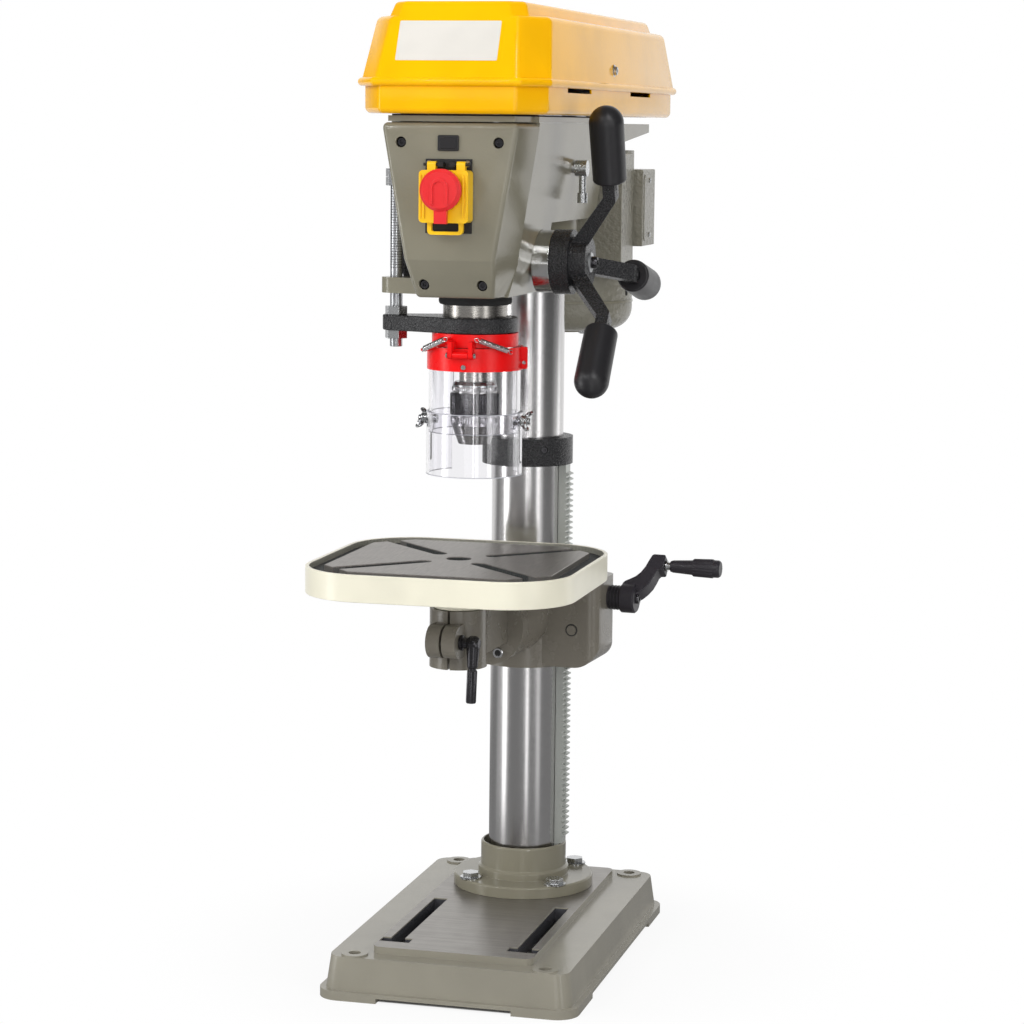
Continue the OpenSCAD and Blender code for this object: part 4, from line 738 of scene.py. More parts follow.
class Shop:
    """Makes extra pieces in the row frame, in millimetres, and sets them on their bodies."""

    piece_edge: ClassVar[float] = math.radians(30)

    @classmethod
    def add(cls, mesh: Mesh, name: str, body: str, finish: Finish, slot: str, place: Matrix = Matrix.Identity(4),
            edge: float = 0.0, smooth: float = 35.0) -> bpy.types.Object:
        """Turns a mesh into a piece of the part.

        Args:
            mesh: Mesh in millimetres.
            name: Name of the piece.
            body: Body that it moves with.
            finish: Finish that it takes.
            slot: Material slot of the record that the finish stands for; not used.
            place: Where it goes, in millimetres.
            edge: Width of rounded edges in millimetres.
            smooth: Angle in degrees under which faces shade as one.

        Returns:
            The new object.
        """
        bmesh.ops.transform(mesh, matrix=place, verts=mesh.verts)
        bmesh.ops.scale(mesh, vec=(MM, MM, MM), verts=mesh.verts)
        bmesh.ops.recalc_face_normals(mesh, faces=mesh.faces)
        data = bpy.data.meshes.new(name)
        mesh.to_mesh(data)
        mesh.free()
        data.polygons.foreach_set("use_smooth", [True] * len(data.polygons))
        data.set_sharp_from_angle(angle=math.radians(smooth))
        data.materials.append(finish.material())
        obj = bpy.data.objects.new(name, data)
        bpy.context.scene.collection.objects.link(obj)
        if edge > 0:
            EdgeTool.bevel(obj, edge, 2, cls.piece_edge)
        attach(obj, body)
        LOG.info("piece %s on %s", name, body)
        return obj

    @staticmethod
    def at(x: float, y: float, z: float, axis: Axis = Axis.Z) -> Matrix:
        """Place at a point with +Z laid along an axis."""
        return Matrix.Translation((x, y, z)) @ axis.turn()

    @staticmethod
    def polar(radius: float, angle: float) -> Pair:
        """Point at a radius and an angle in radians."""
        return radius * math.cos(angle), radius * math.sin(angle)

    @classmethod
    def turned(cls, profile: Profile, steps: int = 48) -> Mesh:
        """Turns a closed outline round +Z.

        Args:
            profile: Radius and height of each corner, in order. Corners at radius 0 close to a point.
            steps: Faces round the piece.

        Returns:
            The mesh.
        """
        mesh = bmesh.new()
        rings = []
        for radius, height in profile:
            count = steps if radius > NEAR_ZERO else 1
            rings.append([mesh.verts.new((*cls.polar(radius, 2 * math.pi * i / steps), height)) for i in range(count)])
        closed = min(profile[0][0], profile[-1][0]) > NEAR_ZERO
        for low, high in zip(rings, rings[1:] + rings[:1] if closed else rings[1:]):
            for i in range(steps):
                j = (i + 1) % steps
                face = dict.fromkeys((low[i % len(low)], low[j % len(low)], high[j % len(high)], high[i % len(high)]))
                if len(face) > 2:
                    mesh.faces.new(list(face))
        return mesh

    @classmethod
    def fluted(cls, profile: Profile, count: int, depth: float) -> Mesh:
        """Turns an outline whose third and fourth corners carry lengthwise flutes.

        Args:
            profile: Radius and height of each corner.
            count: Number of flutes.
            depth: Depth of a flute.

        Returns:
            The mesh.
        """
        cuts = (0.0, 0.5, 1.0, 0.5)
        steps = count * len(cuts)
        mesh = cls.turned(profile, steps)
        mesh.verts.ensure_lookup_table()
        start = sum(steps if radius > NEAR_ZERO else 1 for radius, _ in profile[:2])
        for row, (radius, _) in enumerate(profile[2:4]):
            for i in range(steps):
                mesh.verts[start + row * steps + i].co.xy *= (radius - depth * cuts[i % len(cuts)]) / radius
        return mesh

    @staticmethod
    def prism(outline: Profile, depth: float) -> Mesh:
        """Sweeps a flat outline up +Z.

        Args:
            outline: Corners in order.
            depth: Height of the sweep.

        Returns:
            The mesh.
        """
        mesh = bmesh.new()
        low, high = ([mesh.verts.new((x, y, z)) for x, y in outline] for z in (0, depth))
        mesh.faces.new(list(reversed(low)))
        mesh.faces.new(high)
        for i in range(len(low)):
            j = (i + 1) % len(low)
            mesh.faces.new((low[i], low[j], high[j], high[i]))
        return mesh

    @classmethod
    def rounded(cls, width: float, height: float, radius: float) -> list[Pair]:
        """Corners of a rectangle with round corners.

        Args:
            width: Full width.
            height: Full height.
            radius: Corner radius.

        Returns:
            The corners in order.
        """
        corners, steps = [], 6
        for turn, (sx, sy) in enumerate(((1, 1), (-1, 1), (-1, -1), (1, -1))):
            for i in range(steps + 1):
                x, y = cls.polar(radius, math.pi / 2 * (turn + i / steps))
                corners.append((sx * (width / 2 - radius) + x, sy * (height / 2 - radius) + y))
        return corners

    @classmethod
    def swept(cls, mesh: Mesh, path: Sequence[Vector], radius: float, sides: int) -> None:
        """Sweeps a round bar along a path.

        Args:
            mesh: Mesh that takes the bar.
            path: Points of the middle line.
            radius: Bar radius.
            sides: Faces round the bar.
        """
        rings = []
        side = None
        for i, point in enumerate(path):
            ahead = (path[min(i + 1, len(path) - 1)] - path[max(i - 1, 0)]).normalized()
            if side is None:
                side = ahead.orthogonal().normalized()
            side = (side - ahead * side.dot(ahead)).normalized()
            other = ahead.cross(side)
            turns = [cls.polar(1.0, 2 * math.pi * k / sides) for k in range(sides)]
            rings.append([mesh.verts.new(point + (side * x + other * y) * radius) for x, y in turns])
        for low, high in zip(rings, rings[1:]):
            for k in range(sides):
                mesh.faces.new((low[k], low[(k + 1) % sides], high[(k + 1) % sides], high[k]))
        mesh.faces.new(list(reversed(rings[0])))
        mesh.faces.new(rings[-1])

    @classmethod
    def screw_head(cls, radius: float, height: float, socket: float) -> Mesh:
        """Domed screw head with a hexagon socket.

        Args:
            radius: Head radius.
            height: Head height.
            socket: Socket radius.

        Returns:
            The mesh.
        """
        mesh = cls.turned([(0, 0), (radius, 0), (radius, height * 0.7), (radius * 0.86, height), (socket, height),
                           (socket * 0.98, height * 0.35), (0, height * 0.3)], 36)
        for vert in mesh.verts:
            if NEAR_ZERO < vert.co.xy.length <= socket * 1.01:
                angle = math.atan2(vert.co.y, vert.co.x) % (math.pi / 3) - math.pi / 6
                vert.co.xy *= math.cos(math.pi / 6) / math.cos(angle)
        return mesh


class Assembly:
    """A sub-assembly: CAD nodes with their finishes, and the extra pieces that dress them."""

    finishes: ClassVar[dict[str, Finish]]
    edges: ClassVar[dict[str, float]]
    plain_edge: ClassVar[float] = 0.6

    def build(self) -> None:
        """Makes the sub-assembly's extra pieces."""
        raise NotImplementedError

    def dress(self, nodes: dict[str, bpy.types.Object]) -> None:
        """Gives each CAD node its finish and softened edges.

        Args:
            nodes: CAD node name to object.
        """
        for name, finish in self.finishes.items():
            obj = nodes[name]
            obj.data.materials.clear()
            obj.data.materials.append(finish.material())
            EdgeTool.soften(obj, self.edges.get(name, self.plain_edge))
            LOG.info("dressed %s", name)


@dataclass
class Stand(Assembly):
    """Base, flange and column."""

    finishes = {"base_casting": OLIVE_BASE, "column_flange": OLIVE, "flange_bolts": ZINC, "column_tube": COLUMN,
                "rack_collar": CRACKLE}
    edges = {"base_casting": 3.0, "column_flange": 1.4, "rack_collar": 1.2, "column_tube": 0.4}
    bolt_r: float = 63.46
    flange_top: float = 60.0
    collar_r: float = 46.5
    screw_sunk: float = 4.0
    screw_z: float = 509.8
    screw_turn: float = -54.0

    def build(self) -> None:
        """Set screw in the collar and washers under the flange bolts."""
        turn = Matrix.Translation((0, COLUMN_Y, 0)) @ Matrix.Rotation(math.radians(self.screw_turn), 4, "Z")
        Shop.add(Shop.screw_head(3.4, 3.0, 1.8), "collar_screw", "stand", BLACKED, "zinc",
                 turn @ Shop.at(self.collar_r - self.screw_sunk, 0, self.screw_z, Axis.X))
        washer = [(8.0, 0), (11.4, 0), (11.4, 1.2), (10.9, 1.7), (8.0, 1.7)]
        for i in range(4):
            x, y = Shop.polar(self.bolt_r, math.radians(45 + 90 * i))
            Shop.add(Shop.turned(washer), f"flange_washer_{i + 1}", "stand", ZINC, "zinc",
                     Shop.at(x, COLUMN_Y + y, self.flange_top))


@dataclass
class TableLift(Assembly):
    """Bracket on the column with its gear, worm and crank, and the table with its arm."""

    finishes = {"lift_rack": RACK, "table_bracket": OLIVE_DARK, "bracket_pins": OLIVE_DARK, "column_clamp": BLACKED,
                "lift_gear": STEEL, "worm_shaft": STEEL, "crank_arm": CAST_BLACK, "crank_grip": CAST_BLACK,
                "table_arm": OLIVE_DARK, "table_clamp": BLACKED, "work_table": TABLE}
    edges = {"lift_rack": 0.0, "table_bracket": 3.0, "table_arm": 2.5, "work_table": 1.0, "worm_shaft": 0.0,
             "lift_gear": 0.0, "crank_arm": 2.6, "bracket_pins": 0.0}
    crank_z: float = 357.0
    crank_in: float = 90.4
    crank_wide: float = 17.0
    rings_x: float = 92.0
    ring_step: float = 3.4
    screw_x: float = 119.0
    pin_x: float = 133.4
    grip_x: float = 148.4
    grip_reach: Pair = (24.07, 31.95)
    stud: Point = (28.5, -246.0, 345.5)
    stud_back: float = 45.5
    boss_back: float = 13.2
    lever_lean: float = 2.0
    tilt_pin: Point = (12.5, -127.0, 314.7)
    gear_pin: Point = (62.1, -39.9, 327.0)

    def build(self) -> None:
        """Crank, table clamp, the ring round the gear's pin, and the tilt pin with a black plug of painted shade in its
        bore.
        """
        self.crank()
        self.clamp()
        Shop.add(Shop.turned([(5.1, 0), (6.4, 0), (6.2, 0.5), (5.1, 0.5)]), "gear_pin_ring", "bracket", RUBBER,
                 "bracket_paint", BRACKET @ Shop.at(*self.gear_pin, Axis.FRONT))
        tilt = BRACKET @ Shop.at(*self.tilt_pin, Axis.Y)
        pin = [(3.0, 5), (3.0, 0.4), (3.3, 0), (4.7, 0), (5.2, 0.4), (5.2, 5)]
        Shop.add(Shop.turned(pin, 32), "tilt_pin", "arm", WIRE, "zinc", tilt)
        # Black plug in the hollow pin: painted shade for the dark inside of its bore.
        socket = [(0, 0.3), (3.3, 0.3), (3.3, 4.6), (0, 4.6)]
        Shop.add(Shop.turned(socket, 32), "tilt_socket", "arm", RUBBER, "zinc", tilt)

    def along_crank(self, x: float, reach: Pair = (0.0, 0.0)) -> Matrix:
        """Place on the crank's axis, or on a line beside it, laid outward."""
        return BRACKET @ Shop.at(x, reach[0], self.crank_z + reach[1], Axis.X)

    def crank(self) -> None:
        """Crank arm as one curved casting, with its screw, rings, hub, pin and ribbed grip."""
        Shop.add(Shop.screw_head(5.2, 3.6, 2.9), "crank_screw", "crank", BLACKED, "zinc",
                 self.along_crank(self.screw_x))
        ring = [(11.8, 0), (12.7, 0.4), (12.7, 1.6), (11.8, 2.0)]
        for i in range(3):
            Shop.add(Shop.turned(ring), f"crank_ring_{i + 1}", "crank", SATIN_BLACK, "black_casting",
                     self.along_crank(self.rings_x + self.ring_step * i))
        inner = [(103.6, -6), (103.6, 13), (106, 16), (110.5, 18.5), (116, 22), (120.5, 27), (124, 33.5), (126.5, 41),
                 (129, 47.6), (131, 48.8)]
        outer = [(142.4, 48.8), (143.5, 47.6), (143.5, 32.4), (142.4, 31.2), (138.4, 31), (136.6, 28.5), (135.2, 23),
                 (132.6, 15.5), (128.5, 9), (124, 4), (119.2, 0.5), (117, -6)]
        lean = math.atan2(self.grip_reach[1], self.grip_reach[0])
        place = (BRACKET @ Matrix.Translation((0, 0, self.crank_z)) @ Matrix.Rotation(lean, 4, "X")
                 @ Matrix.Translation((0, 0, -self.crank_wide / 2)))
        arm = Shop.add(Shop.prism(inner + outer, self.crank_wide), "crank_lever", "crank", CAST_BLACK, "black_casting",
                       place, edge=2.4)
        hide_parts("crank_arm")
        hub = [(0, 26.2), (8.2, 26.2), (8.2, 0), (12, 0), (12, 12.6), (13.8, 13.0), (15, 14.4), (15, 27.4), (13.6, 29),
               (0, 29)]
        Shop.add(Shop.turned(hub), "crank_hub", "crank", CAST_BLACK, "black_casting", self.along_crank(self.crank_in))
        pin = [(0, 0), (4, 0), (4, 10.2), (5.6, 10.6), (5.6, 12.0), (4, 12.4), (4, 14.8), (3.8, 60), (0, 60)]
        Shop.add(Shop.turned(pin), "crank_pin", "crank", ZINC, "zinc", self.along_crank(self.pin_x, self.grip_reach))
        ribs = [(0, 24), (8.4, 24), (9.3, 25.2), (9.9, 44.5), (9.0, 46), (0, 46)]
        Shop.add(Shop.fluted(ribs, 18, 0.9), "crank_grip_ribs", "crank_knob", CAST_BLACK, "black_plastic",
                 self.along_crank(self.grip_x, self.grip_reach))

    def clamp(self) -> None:
        """Table clamp: a lever with a fluted grip, a boss, and a stud through the ears."""
        x, y, z = self.stud
        lever = (BRACKET @ Matrix.Translation(self.stud) @ Matrix.Rotation(math.radians(self.lever_lean), 4, "Y")
                 @ Axis.DOWN.turn())
        grip = [(0, 26), (4.4, 26), (4.95, 27), (4.95, 56.8), (4.4, 58), (0, 58)]
        neck = [(0, -7.3), (3.2, -7.1), (5.4, -5.4), (6.4, -2.6), (6.5, 2), (6.1, 9), (5.4, 18), (5.2, 22.4), (4.2, 24),
                (3.7, 24.4), (3.7, 27), (0, 27)]
        boss = [(0, 0), (6.8, 0), (7.4, 0.6), (7.4, 3.0), (5.4, 4.0), (5.1, 7.4), (6.2, 9), (6.9, 12.6), (6.4, 17),
                (4.8, 19.4), (0, 20)]
        stud = [(0, 0), (4.2, 0), (5, 0.8), (5, 42), (0, 42)]
        for name, mesh, place in (
                ("clamp_grip", Shop.fluted(grip, 20, 0.55), lever), ("clamp_neck", Shop.turned(neck), lever),
                ("clamp_boss", Shop.turned(boss), BRACKET @ Shop.at(x - self.boss_back, y, z, Axis.X)),
                ("clamp_stud", Shop.turned(stud), BRACKET @ Shop.at(x - self.stud_back, y, z, Axis.X))):
            Shop.add(mesh, name, "arm_lock", BLACKED, "black_steel", place)
        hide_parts("table_clamp")


@dataclass
class Head(Assembly):
    """Head casting, cover and switch."""

    finishes = {"head_casting": OLIVE, "front_cover": OLIVE, "switch_box": SWITCH_BLACK,
                "switch_flap": SWITCH_YELLOW, "stop_knob": STOP_RED, "start_button": START_GREEN,
                "stop_button": STOP_RED}
    edges = {"head_casting": 1.6, "front_cover": 0.5, "switch_flap": 1.0, "stop_knob": 0.8}
    cover_screws: tuple[Point, ...] = ((46.5, -199.5, 821.0), (28.0, -184.5, 689.5))
    plate_screw: Point = (18.0, -208.0, 801.6)
    ribs_x: Pair = (18.6, 21.8)
    rib_y: float = -224.7
    rib_z: float = 772.0
    blank: Point = (-0.9, -205.6, 820.5)
    knob: Point = (0.0, -238.9, 778.0)
    head_top: float = 840.0
    lip_gap: float = 0.1
    lip_out: Profile = ((71.3, 118.0), (71.3, -152.5), (67.0, -154.0), (60.2, -201.4))
    lip_in: Profile = ((64.0, 118.0), (64.0, -150.0), (60.5, -152.0), (54.5, -195.5))
    lip_h: float = 5.2
    # Height of the dark strip of painted shade in the gap under the guard.
    seal_h: float = 1.5

    def build(self) -> None:
        """Cover screws, blank, switch details, and the lip and a dark strip of painted shade under the guard."""
        for side in Side:
            for i, (x, y, z) in enumerate(self.cover_screws):
                Shop.add(Shop.screw_head(4.3, 4.0, 2.3), f"cover_screw_{side.letter}{i}", "stand", BLACKED, "zinc",
                         Shop.at(side.value * x, y, z, Axis.FRONT))
            x, y, z = self.plate_screw
            Shop.add(Shop.screw_head(3.1, 1.9, 1.4), f"plate_screw_{side.letter}", "stand", ZINC, "zinc",
                     Shop.at(side.value * x, y, z, Axis.FRONT))
            for i, x in enumerate(self.ribs_x):
                Shop.add(Shop.prism(Shop.rounded(1.8, 40, 0.8), 1.5), f"flap_rib_{side.letter}{i}", "flap",
                         SWITCH_YELLOW, "yellow_plastic", Shop.at(side.value * x, self.rib_y, self.rib_z, Axis.FRONT),
                         edge=0.5)
        for name, size, depth, finish in (("blank_frame", (20, 14.5, 1.5), 2.2, SWITCH_BLACK),
                                          ("blank_plate", (15.5, 10.5, 1.0), 2.9, SATIN_BLACK)):
            Shop.add(Shop.prism(Shop.rounded(*size), depth), name, "stand", finish, "black_plastic",
                     Shop.at(*self.blank, Axis.FRONT), edge=0.5)
        Shop.add(Shop.prism(self.arch(8.6, 5.8, 13.0), 1.9), "knob_arch", "knob", STOP_RED, "red_plastic",
                 Shop.at(*self.knob, Axis.FRONT), edge=0.4)
        self.gasket()

    @staticmethod
    def arch(outer: float, inner: float, leg: float) -> list[Pair]:
        """Outline of an arch open at its foot.

        Args:
            outer: Outside radius.
            inner: Inside radius.
            leg: Length of the legs below the middle.

        Returns:
            The corners in order.
        """
        steps, rise = 14, 2
        over, back = ([(x, rise + y) for x, y in (Shop.polar(radius, math.pi * i / steps) for i in range(steps + 1))]
                      for radius in (outer, inner))
        return over + [(-outer, -leg), (-inner, -leg)] + back[::-1] + [(inner, -leg), (outer, -leg)]

    def gasket(self) -> None:
        """Painted lip on the head, and a dark rubber strip of painted shade in the gap under the belt guard, both open
        at the back.
        """
        inner = list(self.lip_in)
        middle = [((a + c) / 2, (b + d) / 2) for (a, b), (c, d) in zip(self.lip_out, inner)]
        # The second piece is no seal: it is a dark rubber strip of painted shade that stands for the shadow in the gap
        # under the guard.
        for name, edge, height, low, finish, slot in (
                ("head_lip", list(self.lip_out), self.lip_h, self.lip_gap, OLIVE, "olive_paint"),
                ("guard_gasket", middle, self.seal_h, self.lip_h, RUBBER, "belt_rubber")):
            ring = edge + [(-x, y) for x, y in edge[::-1]] + [(-x, y) for x, y in inner] + inner[::-1]
            Shop.add(Shop.prism(ring, height), name, "stand", finish, slot, Shop.at(0, 0, self.head_top + low))


@dataclass
class Feed(Assembly):
    """Feed handle with its pinion and spring."""

    finishes = {"feed_boss": TURNED, "feed_shaft": STEEL, "feed_hub": CRACKLE, "feed_grips": SATIN_BLACK,
                "spring_housing": CRACKLE, "return_spring": WIRE}
    edges = {"feed_hub": 2.5, "feed_grips": 1.0, "feed_shaft": 0.0, "return_spring": 0.0, "spring_housing": 2.0}
    middle: Pair = (-73.0, 708.0)
    washer_x: float = 103.1
    screw_x: float = 104.9
    housing_x: float = -78.0
    cap_sunk: float = 0.4
    nuts: Pair = (2.6, 7.4)

    def build(self) -> None:
        """Washer and screw on the hub, cap and nuts on the spring housing."""
        washer = [(0, 0), (9.6, 0), (9.6, 1.1), (8.9, 1.8), (0, 1.8)]
        Shop.add(Shop.turned(washer), "hub_washer", "feed", BRIGHT, "bright_steel",
                 Shop.at(self.washer_x, *self.middle, Axis.X))
        Shop.add(Shop.screw_head(5.8, 5.6, 3.2), "hub_screw", "feed", BLACKED, "zinc",
                 Shop.at(self.screw_x, *self.middle, Axis.X))
        cap = [(0, 0), (21, 0), (21, 1.4), (19.6, 2.6), (12, 3.0), (0, 3.0)]
        Shop.add(Shop.turned(cap), "housing_cap", "stand", BLACKED, "black_steel",
                 Shop.at(self.housing_x + self.cap_sunk, *self.middle, Axis.LEFT))
        nut = [(0, 0), (8.6, 0), (9.2, 0.6), (9.2, 3.8), (8.6, 4.4), (0, 4.4)]
        for i, out in enumerate(self.nuts):
            Shop.add(Shop.turned(nut, 6), f"housing_nut_{i + 1}", "stand", ZINC, "zinc",
                     Shop.at(self.housing_x - out, *self.middle, Axis.LEFT), smooth=20.0)


@dataclass
class QuillGroup(Assembly):
    """Quill, spindle, chuck, depth stop and chuck guard."""

    finishes = {"quill": QUILL, "quill_bearings": STEEL, "depth_arm": CRACKLE, "depth_rod": GRADUATED,
                "depth_rod_nuts": ZINC, "depth_stop_nuts": ZINC, "spindle": QUILL, "chuck_body": CHUCK,
                "chuck_sleeve": BLACKED, "jaw_1": STEEL, "jaw_2": STEEL, "jaw_3": STEEL,
                "guard_mount": GUARD_RED, "shield_band": GUARD_RED, "shield_upper": CLEAR,
                "shield_lower": CLEAR, "wing_nuts": ZINC, "guard_springs": WIRE}
    edges = {"quill": 0.0, "depth_arm": 1.5, "guard_mount": 0.8, "shield_upper": 0.25, "shield_lower": 0.25}
    seal_z: float = 667.6
    knurls: tuple[tuple[str, str, Finish, str, float, float, float, int], ...] = (
        ("sleeve_knurl", "sleeve", BLACKED, "black_steel", 23.6, 562.4, 20.2, 60),
        ("chuck_knurl_low", "spindle", CHUCK, "chuck_steel", 22.9, 554.6, 5.6, 72),
        ("chuck_knurl_high", "spindle", CHUCK, "chuck_steel", 21.9, 585.0, 4.0, 72))
    knurl_depth: float = 0.55
    hinge: Point = (12.9, -162.0, 622.0)
    band_screw: Point = (1.4, -156.8, 610.5)
    band_tab: Point = (47.0, -108.0, 617.5)
    tab_rivet: Point = (48.2, -110.1, 613.0)
    nut_x: float = 46.8
    nut_z: float = 557.0
    wing_turns: Pair = (40, 220)
    wing_thick: float = 2.0
    shield_gap: float = 90.0
    rim_h: float = 0.7
    rim_wide: float = 2.0
    rims: tuple[tuple[str, str, float, float], ...] = (
        ("rim_upper", "shield", 44.05, 545.9), ("rim_high", "extension", 46.35, 564.4),
        ("rim_low", "extension", 46.35, 504.9))
    pegs: tuple[Point, Point] = ((52.5, 17.0, 637.0), (53.0, 55.0, 625.0))
    spring_in: float = 3.2
    spring_r: float = 2.5
    spring_turns: int = 24
    turn_steps: int = 14
    wire_r: float = 0.5
    hook_r: float = 1.85

    def build(self) -> None:
        """Quill seal, chuck knurls, guard screws and tab, wing nuts, clear rims and springs."""
        seal = [(31.4, 0.6), (32.4, 0), (34.0, 0.5), (35.0, 2.2), (35.2, 4.4), (34.6, 6.6), (34.9, 9.3), (31.4, 9.3)]
        Shop.add(Shop.turned(seal, 64), "quill_seal", "stand", RUBBER, "belt_rubber",
                 Shop.at(0, SPINDLE_Y, self.seal_z))
        for name, body, finish, slot, radius, low, height, count in self.knurls:
            ring = [(radius - 1.2, 0), (radius - 0.5, 0), (radius, 0.6), (radius, height - 0.6),
                    (radius - 0.5, height), (radius - 1.2, height)]
            Shop.add(Shop.fluted(ring, count, self.knurl_depth), name, body, finish, slot,
                     Shop.at(0, SPINDLE_Y, low), smooth=20.0)
        cap = [(0, 0), (2.7, 0), (2.7, 0.9), (1.9, 1.8), (0, 2.2)]
        x, y, z = self.hinge
        for side in (Side.RIGHT, Side.LEFT):
            Shop.add(Shop.turned(cap, 24), f"hinge_cap_{side.letter}", "quill", ZINC, "zinc",
                     Shop.at(side.value * x, y, z, side.axis))
            self.wing_nut(side)
        Shop.add(Shop.screw_head(2.5, 1.8, 1.2), "band_screw", "shield", ZINC, "zinc",
                 Shop.at(*self.band_screw, Axis.FRONT))
        Shop.add(Shop.prism(Shop.rounded(9, 21, 1.5), 2.2), "band_tab", "shield", GUARD_RED, "red_plastic",
                 Shop.at(*self.band_tab, Axis.FRONT), edge=0.5)
        Shop.add(Shop.screw_head(1.9, 1.2, 0.9), "tab_rivet", "shield", ZINC, "zinc",
                 Shop.at(*self.tab_rivet, Axis.FRONT))
        for name, body, radius, low in self.rims:
            Shop.add(self.open_ring(radius), name, body, FROST, "clear_plastic", Shop.at(0, SPINDLE_Y, low))
        self.springs()

    def open_ring(self, radius: float) -> Mesh:
        """Low wall round the front of the shield, open at the back.

        Args:
            radius: Outside radius.

        Returns:
            The mesh.
        """
        half, steps = math.radians(180 - self.shield_gap / 2), 60
        turns = [-math.pi / 2 - half + 2 * half * i / steps for i in range(steps + 1)]
        outer, inner = ([Shop.polar(r, turn) for turn in turns] for r in (radius, radius - self.rim_wide))
        return Shop.prism(outer + inner[::-1], self.rim_h)

    def wing_nut(self, side: Side) -> None:
        """Hub and two wings of the nut on one side of the shield.

        Args:
            side: Side of the shield.
        """
        start = (side.value * self.nut_x, SPINDLE_Y, self.nut_z)
        hub = [(0, 0), (5.6, 0), (5.6, 1.2), (4.4, 5.6), (3.2, 6.4), (3.0, 8.2), (2.4, 8.8), (0, 8.8)]
        Shop.add(Shop.turned(hub, 32), f"wing_hub_{side.letter}", "shield", ZINC, "zinc", Shop.at(*start, side.axis))
        wing = [(2.0, 0.6), (6.0, 1.2), (9.5, 2.8), (12.2, 5.2), (13.2, 7.8), (12.4, 9.6), (10.4, 9.6), (8.0, 7.6),
                (5.4, 5.8), (2.4, 5.0)]
        for turn in self.wing_turns:
            out = Vector((0, *Shop.polar(1.0, math.radians(turn))))
            face = Vector((side.value, 0, 0))
            place = Matrix((out, face, out.cross(face))).transposed().to_4x4()
            Shop.add(Shop.prism(wing, self.wing_thick), f"wing_{side.letter}{turn}", "shield", ZINC, "zinc",
                     Matrix.Translation(start) @ place @ Matrix.Translation((0, 0, -self.wing_thick / 2)), edge=0.6)

    def springs(self) -> None:
        """Coil springs that snap the shield up or down, hooked on their pegs."""
        both = bmesh.new()
        for side in Side:
            Shop.swept(both, self.spring_path(side), self.wire_r, 8)
        coils = Shop.add(both, "spring_coils", "quill", WIRE, "spring_steel", smooth=80.0)
        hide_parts("guard_springs")

    def spring_path(self, side: Side) -> list[Vector]:
        """Middle line of one spring's wire, from hook to hook.

        Args:
            side: Side of the guard.

        Returns:
            The points in order.
        """
        pegs, ends = [], []
        for radius, turn, z in self.pegs:
            angle = math.radians(turn)
            pegs.append(Vector((side.value * math.sin(angle), -math.cos(angle), 0)))
            ends.append(pegs[-1] * radius + Vector((0, SPINDLE_Y, z)))
        along = (ends[1] - ends[0]).normalized()
        out = along.cross(Vector((0, 0, side.value))).normalized()
        over = along.cross(out)
        span = (ends[1] - ends[0]).length - 2 * self.spring_in
        steps = self.spring_turns * self.turn_steps
        coil = []
        for i in range(steps + 1):
            x, y = Shop.polar(1.0, 2 * math.pi * i / self.turn_steps)
            coil.append(ends[0] + along * (self.spring_in + span * i / steps) + (out * x + over * y) * self.spring_r)
        hooks = []
        for end, peg, way in zip(ends, pegs, (along, -along)):
            face = (way - peg * peg.dot(way)).normalized()
            turns = (Shop.polar(1.0, math.radians(20 + 25 * k)) for k in range(13))
            hooks.append([end + (face * x + peg.cross(face) * y) * self.hook_r for x, y in turns])
        return hooks[0][::-1] + coil + hooks[1]


